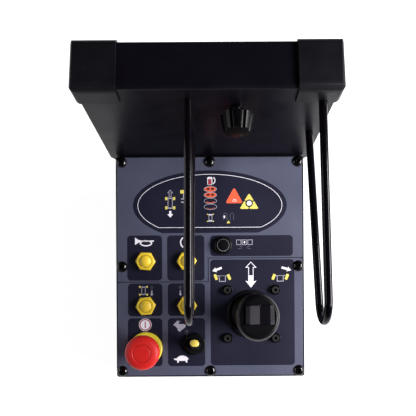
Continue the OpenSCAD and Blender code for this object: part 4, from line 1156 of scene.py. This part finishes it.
@dataclass
class GripSkin:
    """The moulded grip: a neck, a flared barrel and a head with a flat face and the rocker's well in it."""

    foot: float = 32.5
    foot_round: float = 0.5
    neck_r: float = 10.9
    barrel_low: float = 46.0
    barrel_gap: float = 1.0
    under_r: float = 15.0
    under_h: float = 8.0
    barrel_r: float = 20.0
    half_w: float = 23.0
    half_l: float = 25.1
    top: float = 101.0
    shoulder: float = 9.0
    shoulder_power: float = 0.9
    face_half_w: float = 17.4
    face_half_l: float = 18.7
    face_side: float = 1.0
    face_back: float = -0.5
    facing: float = 0.05
    well: Pair = (31.8, 20.2)
    well_at: Pair = (1.8, 2.6)
    well_depth: float = 9.6
    under_steps: int = 8
    flare_steps: int = 14
    shoulder_steps: int = 12
    segments: int = 128
    edge: float = 0.6
    edge_deg: float = 40.0

    def _rings(self) -> list[Ring]:
        """Works out the cross-sections.

        Returns:
            The sections from the neck up to the face.
        """
        foot_r = self.neck_r - self.foot_round
        rings = [Ring(self.foot, foot_r, foot_r), Ring(self.foot + self.foot_round, self.neck_r, self.neck_r)]
        rings.append(Ring(self.barrel_low - self.barrel_gap, self.neck_r, self.neck_r))
        # the barrel's underside turns out in a quarter round
        for i in range(self.under_steps + 1):
            turn = math.radians(90 * i / self.under_steps)
            r = self.under_r + (self.barrel_r - self.under_r) * math.sin(turn)
            rings.append(Ring(self.barrel_low + self.under_h - self.under_h * math.cos(turn), r, r))
        # the barrel flares toward the head
        low = self.barrel_low + self.under_h + self.barrel_gap
        high = self.top - self.shoulder
        for i in range(1, self.flare_steps + 1):
            s = i / self.flare_steps
            swell = 0.5 - 0.5 * math.cos(math.pi * s)
            half_w = self.barrel_r + (self.half_w - self.barrel_r) * swell
            half_l = self.barrel_r + (self.half_l - self.barrel_r) * swell
            rings.append(Ring(low + (high - low) * s, half_w, half_l))
        # the head's shoulder rounds over into the flat face, which sits off the centre
        for i in range(1, self.shoulder_steps + 1):
            turn = math.radians(90 * i / self.shoulder_steps)
            out = 1 - math.cos(turn)
            up = high + self.shoulder * math.sin(turn) ** self.shoulder_power
            half_w = self.half_w + (self.face_half_w - self.half_w) * out
            half_l = self.half_l + (self.face_half_l - self.half_l) * out
            rings.append(Ring(up, half_w, half_l, self.face_side * out, self.face_back * out))
        return rings

    def _loft(self, work: bmesh.types.BMesh) -> None:
        """Bridges the cross-sections into a closed skin whose flat face stands at height 0.

        Args:
            work: The empty bmesh.
        """
        loops = []
        for ring in self._rings():
            first = len(work.edges)
            made = bmesh.ops.create_circle(work, segments=self.segments, radius=MM)["verts"]
            place = Matrix.Translation(Vector((ring.side, ring.back, ring.up - self.top)) * MM)
            stretch = Matrix.Diagonal((ring.half_w, ring.half_l, 1, 1))
            bmesh.ops.transform(work, matrix=place @ stretch, verts=made)
            work.edges.ensure_lookup_table()
            loops.append(work.edges[first:])
        for below, above in zip(loops, loops[1:]):
            bmesh.ops.bridge_loops(work, edges=below + above)
        for end in (loops[0], loops[-1]):
            bmesh.ops.contextual_create(work, geom=end)
        bmesh.ops.recalc_face_normals(work, faces=work.faces)
        work.normal_update()

    def _crown(self, work: bmesh.types.BMesh) -> list[bmesh.types.BMFace]:
        """Returns the faces of the flat face and of the shoulder round it."""
        low = -self.shoulder * MM
        return [f for f in work.faces if f.normal.z > self.facing and f.calc_center_median().z > low]

    def _sink_well(self, work: bmesh.types.BMesh) -> None:
        """Cuts the rocker's well down through the flat face and the shoulder beside it.

        Args:
            work: The closed skin.
        """
        half_w, half_l = self.well[0] / 2 * MM, self.well[1] / 2 * MM
        mid = Vector((self.well_at[0] * MM, self.well_at[1] * MM, 0))
        for side, reach in ((Vector((1, 0, 0)), half_w), (Vector((0, 1, 0)), half_l)):
            for sign in (-1, 1):
                crown = self._crown(work)
                # each edge and vertex once, in a fixed order
                edges = list(dict.fromkeys(e for f in crown for e in f.edges))
                verts = list(dict.fromkeys(v for f in crown for v in f.verts))
                bmesh.ops.bisect_plane(
                    work, geom=crown + edges + verts, plane_co=mid + side * (sign * reach), plane_no=side
                )
                work.normal_update()
        lid = []
        for face in self._crown(work):
            off = face.calc_center_median() - mid
            if abs(off.x) < half_w and abs(off.y) < half_l:
                lid.append(face)
        bmesh.ops.delete(work, geom=lid, context="FACES")
        rim = [e for e in work.edges if e.is_boundary]
        drawn = bmesh.ops.extrude_edge_only(work, edges=rim)["geom"]
        for vert in [g for g in drawn if isinstance(g, bmesh.types.BMVert)]:
            vert.co.z = -self.well_depth * MM
        bmesh.ops.contextual_create(work, geom=[g for g in drawn if isinstance(g, bmesh.types.BMEdge)])

    def build(self, lever: LeverFrame, shelf: FinishShelf) -> bpy.types.Object:
        """Lofts the grip and cuts the rocker's well.

        Args:
            lever: The lever's frame.
            shelf: The finishes.

        Returns:
            The grip, which stands for the CAD handle and its cap.
        """
        work = bmesh.new()
        self._loft(work)
        self._sink_well(work)
        piece = piece_from(work, "grip_skin", shelf.get(HANDLE_NYLON), lever.at(0, 0, self.top))
        soften(piece, self.edge, self.edge_deg)
        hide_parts("handle_body", "handle_cap")
        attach(piece, "lever")
        LOG.info("built the grip")
        return piece


@dataclass
class RockerSkin:
    """The steering rocker: two ramps that meet in a valley, with ribbed end strips, in millimetres."""

    width: float = 29.4
    length: float = 19.4
    strip: float = 4.3
    strip_drop: float = 1.5
    valley: float = 4.5
    rise: float = 2.9
    belly_half: float = 6.0
    belly: float = 1.4
    side: float = 1.8
    back: float = 2.6
    pivot_up: float = 96.5
    ribs: int = 4
    rib_w: float = 0.45
    rib_h: float = 0.25
    rib_margin: float = 0.8
    rib_lead: float = 0.7
    rib_spare: float = 0.4
    edge: float = 0.35
    edge_deg: float = 9.0

    def _block(self) -> bmesh.types.BMesh:
        """Draws the rocker's profile and extrudes it along the lever's fore and aft line.

        Returns:
            The plain rocker.
        """
        half, high = self.width / 2, self.valley + self.rise
        crest, end = half - self.strip, high - self.strip_drop
        outline = [
            (-half, 0), (-self.belly_half, -self.belly), (self.belly_half, -self.belly), (half, 0),
            (half, end), (crest, high), (0, self.valley), (-crest, high), (-half, end),
        ]
        work = bmesh.new()
        front = -self.length / 2 * MM
        profile = work.faces.new([work.verts.new((x * MM, front, z * MM)) for x, z in outline])
        drawn = bmesh.ops.extrude_face_region(work, geom=[profile])["geom"]
        back = [g for g in drawn if isinstance(g, bmesh.types.BMVert)]
        bmesh.ops.translate(work, vec=(0, self.length * MM, 0), verts=back)
        return work

    def _lay_ribs(self, work: bmesh.types.BMesh) -> None:
        """Lays the fine ribs on the two sloped end strips.

        Args:
            work: The rocker.
        """
        high = self.valley + self.rise
        crest = self.width / 2 - self.strip
        slope = math.atan2(self.strip_drop, self.strip)
        rib = (self.rib_w * MM, (self.length - 2 * self.rib_margin) * MM, self.rib_h * 2 * MM, 1)
        for s in (-1, 1):
            for i in range(self.ribs):
                share = (i + self.rib_lead) / (self.ribs + self.rib_spare)
                x, z = s * (crest + self.strip * share), high - self.strip_drop * share
                place = Matrix.Translation(Vector((x, 0, z)) * MM) @ Matrix.Rotation(s * slope, 4, "Y")
                bmesh.ops.create_cube(work, size=1.0, matrix=place @ Matrix.Diagonal(rib))

    def build(self, lever: LeverFrame, shelf: FinishShelf) -> bpy.types.Object:
        """Makes the rocker with its ribs.

        Args:
            lever: The lever's frame.
            shelf: The finishes.

        Returns:
            The rocker, which stands for the CAD rocker.
        """
        work = self._block()
        self._lay_ribs(work)
        place = lever.at(self.side, self.back, self.pivot_up)
        piece = piece_from(work, "rocker_skin", shelf.get(ROCKER_NYLON), place)
        soften(piece, self.edge, self.edge_deg)
        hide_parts("steering_rocker")
        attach(piece, "rocker")
        LOG.info("built the rocker")
        return piece


@dataclass
class StopSkin:
    """The stop's mushroom: a flared cap whose low dome has one fine ring groove, in millimetres."""

    u: float = -79.0
    v: float = -100.0
    base: float = 15.5
    height: float = 24.0
    head_r: float = 20.0
    neck_r: float = 12.5
    neck_edge: float = 1.0
    neck_share: float = 0.3
    flare_share: float = 0.27
    bore_r: float = 4.2
    bore: float = 18.5
    rim_up: float = 17.3
    dome_powers: Pair = (3.6, 0.45)
    spread_power: float = 0.55
    groove_r: float = 10.2
    groove_w: float = 1.5
    groove_floor: float = 0.4
    groove_deep: float = 0.7
    button_drop: float = 0.1
    button_rings: tuple[float, ...] = (1.0, 0.7, 0.4, 0.0)
    flare_steps: int = 8
    dome_steps: int = 24
    segments: int = 128
    edge: float = 0.3
    edge_deg: float = 35.0

    def _dome(self, r: float) -> float:
        """Returns the dome's height over the bore's foot at radius r."""
        along, up = self.dome_powers
        return self.rim_up + (self.height - self.rim_up) * (1 - (r / self.head_r) ** along) ** up

    def _outline(self) -> Outline:
        """Draws the turned outline from the bore's end round to the dome's top.

        Returns:
            Radius and height of each corner.
        """
        points = [(0.0, self.bore), (self.bore_r, self.bore), (self.bore_r, 0.0)]
        points += [(self.neck_r - self.neck_edge, 0.0), (self.neck_r, self.neck_edge)]
        points.append((self.neck_r, self.height * self.neck_share))
        for i in range(1, self.flare_steps + 1):
            turn = math.radians(90 * i / self.flare_steps)
            flare = self.neck_r + (self.head_r - self.neck_r) * math.sin(turn)
            points.append((flare, self.height * (self.neck_share + self.flare_share * (1 - math.cos(turn)))))
        points.append((self.head_r, self.rim_up))
        inner, outer = self.groove_r - self.groove_w / 2, self.groove_r + self.groove_w / 2
        half_floor = self.groove_floor / 2
        for i in range(1, self.dome_steps + 1):
            r = self.head_r * math.cos(math.radians(90 * i / self.dome_steps)) ** self.spread_power
            if r > outer + half_floor:
                points.append((r, self._dome(r)))
        low = self._dome(self.groove_r) - self.groove_deep
        points.append((outer, self._dome(outer)))
        points += [(self.groove_r + half_floor, low), (self.groove_r - half_floor, low)]
        rings = [share * inner for share in self.button_rings]
        points += [(r, self._dome(r) - self.button_drop) for r in rings]
        return points

    def build(self, plane: PanelPlane, shelf: FinishShelf) -> bpy.types.Object:
        """Turns the mushroom.

        Args:
            plane: The panel's plane.
            shelf: The finishes.

        Returns:
            The mushroom, which stands for the CAD one.
        """
        work = turned(self._outline(), self.segments, closed=False)
        piece = piece_from(work, "stop_skin", shelf.get(RED_NYLON), plane.at(self.u, self.v, self.base))
        soften(piece, self.edge, self.edge_deg)
        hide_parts("stop_head")
        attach(piece, "stop_mushroom")
        LOG.info("built the stop's mushroom")
        return piece


def of_buttons(ending: str) -> tuple[str, ...]:
    """Returns the names of one piece of each of the four yellow buttons."""
    return tuple(f"{button}_button_{ending}" for button in ("horn", "power", "chassis", "height"))


@dataclass
class FrameDresser:
    """Gives every CAD node its finish, and the listed nodes' sharp edges the small radius that real ones
    have.
    """

    nodes_of_edge_mm: dict[float, tuple[str, ...]] = field(
        default_factory=lambda: {
            0.8: ("toggle_tip",),
            0.5: ("saddle_hood", "left_corner_cap", "right_corner_cap", "clamp_knob"),
            0.4: ("base_tray", "black_button_cap"),
            0.35: of_buttons("bezel"),
            0.3: (
                "control_plate", "bottom_cover", "stop_collar", "boot_ring", "black_button_bezel",
                "toggle_collar", "gland_body", "gland_nut", "hood_bolts", *of_buttons("cap"),
            ),
            0.25: ("lever_screws",),
            0.2: ("panel_screws", "lever_washers"),
        }
    )
    finish_of_node: dict[str, Finish] = field(
        default_factory=lambda: {
            "clamp_knob": KNOB_NYLON,
            "lever_screws": DULL_STEEL,
            "boot_ring": SOFT_RUBBER,
        }
    )

    def build(self, frame: dict, shelf: FinishShelf) -> None:
        """Dresses the nodes.

        Args:
            shelf: The finishes.
        """
        slots = {row["node"]: row["material_slot"] for row in frame["record"]["subparts"]}
        widths = {name: width for width, names in self.nodes_of_edge_mm.items() for name in names}
        for name, node in frame["nodes"].items():
            finish = self.finish_of_node.get(name, FINISH_OF_SLOT[slots[name]])
            node.data.materials.clear()
            node.data.materials.append(shelf.get(finish))
            if name in widths:
                soften(node, widths[name])
        LOG.info("dressed %d nodes", len(frame["nodes"]))


@dataclass(frozen=True)
class Lamp:
    """A soft strip lamp: its place and size in metres, its power and its colour."""

    name: str
    at: tuple[float, float, float]
    size: Pair
    watts: float
    colour: str
    aim: tuple[float, float, float] = (0.0, 0.0, 0.1)

    def build(self) -> None:
        """Hangs the lamp and turns it to the console."""
        data = bpy.data.lights.new(self.name, "AREA")
        data.shape = "RECTANGLE"
        data.size, data.size_y = self.size
        data.energy = self.watts
        data.color = srgb(self.colour)[:3]
        lamp = bpy.data.objects.new(self.name, data)
        lamp.location = self.at
        aim = Vector(self.aim) - Vector(self.at)
        lamp.rotation_euler = aim.to_track_quat("-Z", "Y").to_euler()
        bpy.context.scene.collection.objects.link(lamp)


@dataclass
class Studio:
    """Floor, lights and camera."""

    stand_off_mm: float = 620.0
    foot_u_mm: float = 6.3
    foot_v_mm: float = 0.0
    roll_deg: float = -0.35
    lens_mm: float = 43.78
    sensor_mm: float = 36.0
    shift_x: float = -0.0174
    shift_y: float = 0.14
    clip: Pair = (0.05, 20.0)
    floor_half: float = 3.0
    floor_down: float = 0.0002
    lamps: tuple[Lamp, ...] = (
        Lamp("key_right", (0.85, -0.08, 0.62), (0.8, 0.3), 28.0, "#fffbff"),
        Lamp("fill_left", (-1.15, 0.0, 0.65), (0.9, 0.3), 4.5, "#f6f3ff"),
    )
    room_colour: str = "#e8eaf0"
    room_strength: float = 0.06

    def _floor(self, shelf: FinishShelf) -> None:
        """Lays the white table that the console stands on.

        Args:
            shelf: The finishes.
        """
        work = bmesh.new()
        bmesh.ops.create_grid(work, x_segments=1, y_segments=1, size=self.floor_half)
        place = Matrix.Translation((0, 0, -self.floor_down))
        floor = piece_from(work, "studio_floor", shelf.get(FLOOR_PAPER), place, smooth=False)
        floor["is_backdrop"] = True

    def _camera(self, plane: PanelPlane) -> None:
        """Sets the camera square over the panel, a little right of its middle.

        Args:
            plane: The panel's plane.
        """
        data = bpy.data.cameras.new("overhead")
        data.sensor_width = self.sensor_mm
        data.lens = self.lens_mm
        data.shift_x = self.shift_x
        data.shift_y = self.shift_y
        data.clip_start, data.clip_end = self.clip
        camera = bpy.data.objects.new("overhead", data)
        spot = plane.at(self.foot_u_mm, self.foot_v_mm, self.stand_off_mm)
        camera.matrix_world = spot @ Matrix.Rotation(math.radians(self.roll_deg), 4, "Z")
        bpy.context.scene.collection.objects.link(camera)
        bpy.context.scene.camera = camera

    def _room(self) -> None:
        """Fills the room round the console with a faint even light."""
        world = bpy.data.worlds.new("soft_room")
        world.use_nodes = True
        back = world.node_tree.nodes["Background"]
        back.inputs["Color"].default_value = srgb(self.room_colour)
        back.inputs["Strength"].default_value = self.room_strength
        bpy.context.scene.world = world

    def build(self, plane: PanelPlane, shelf: FinishShelf) -> None:
        """Sets the stage.

        Args:
            plane: The panel's plane.
            shelf: The finishes.
        """
        self._floor(shelf)
        self._camera(plane)
        for lamp in self.lamps:
            lamp.build()
        self._room()
        bpy.context.scene.view_settings.view_transform = "Standard"
        LOG.info("set the stage")


def corners() -> list[list[float]]:
    """Returns the shown object's lowest and highest corners as plain lists."""
    low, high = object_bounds()
    return [[float(x) for x in low], [float(x) for x in high]]


def main() -> None:
    """Builds the classes in order."""
    logging.basicConfig(level=logging.INFO, format="%(name)s: %(message)s")
    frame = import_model()
    shelf = FinishShelf()
    plane = PanelPlane.measured(frame["joints"])
    FrameDresser().build(frame, shelf)
    OverlayPrint().build(plane, shelf)
    lever = LeverFrame.measured(frame["joints"], plane)
    LeverBoot().build(lever, shelf)
    GripSkin().build(lever, shelf)
    RockerSkin().build(lever, shelf)
    StopSkin().build(plane, shelf)
    Studio().build(plane, shelf)


if __name__ == "__main__":
    main()
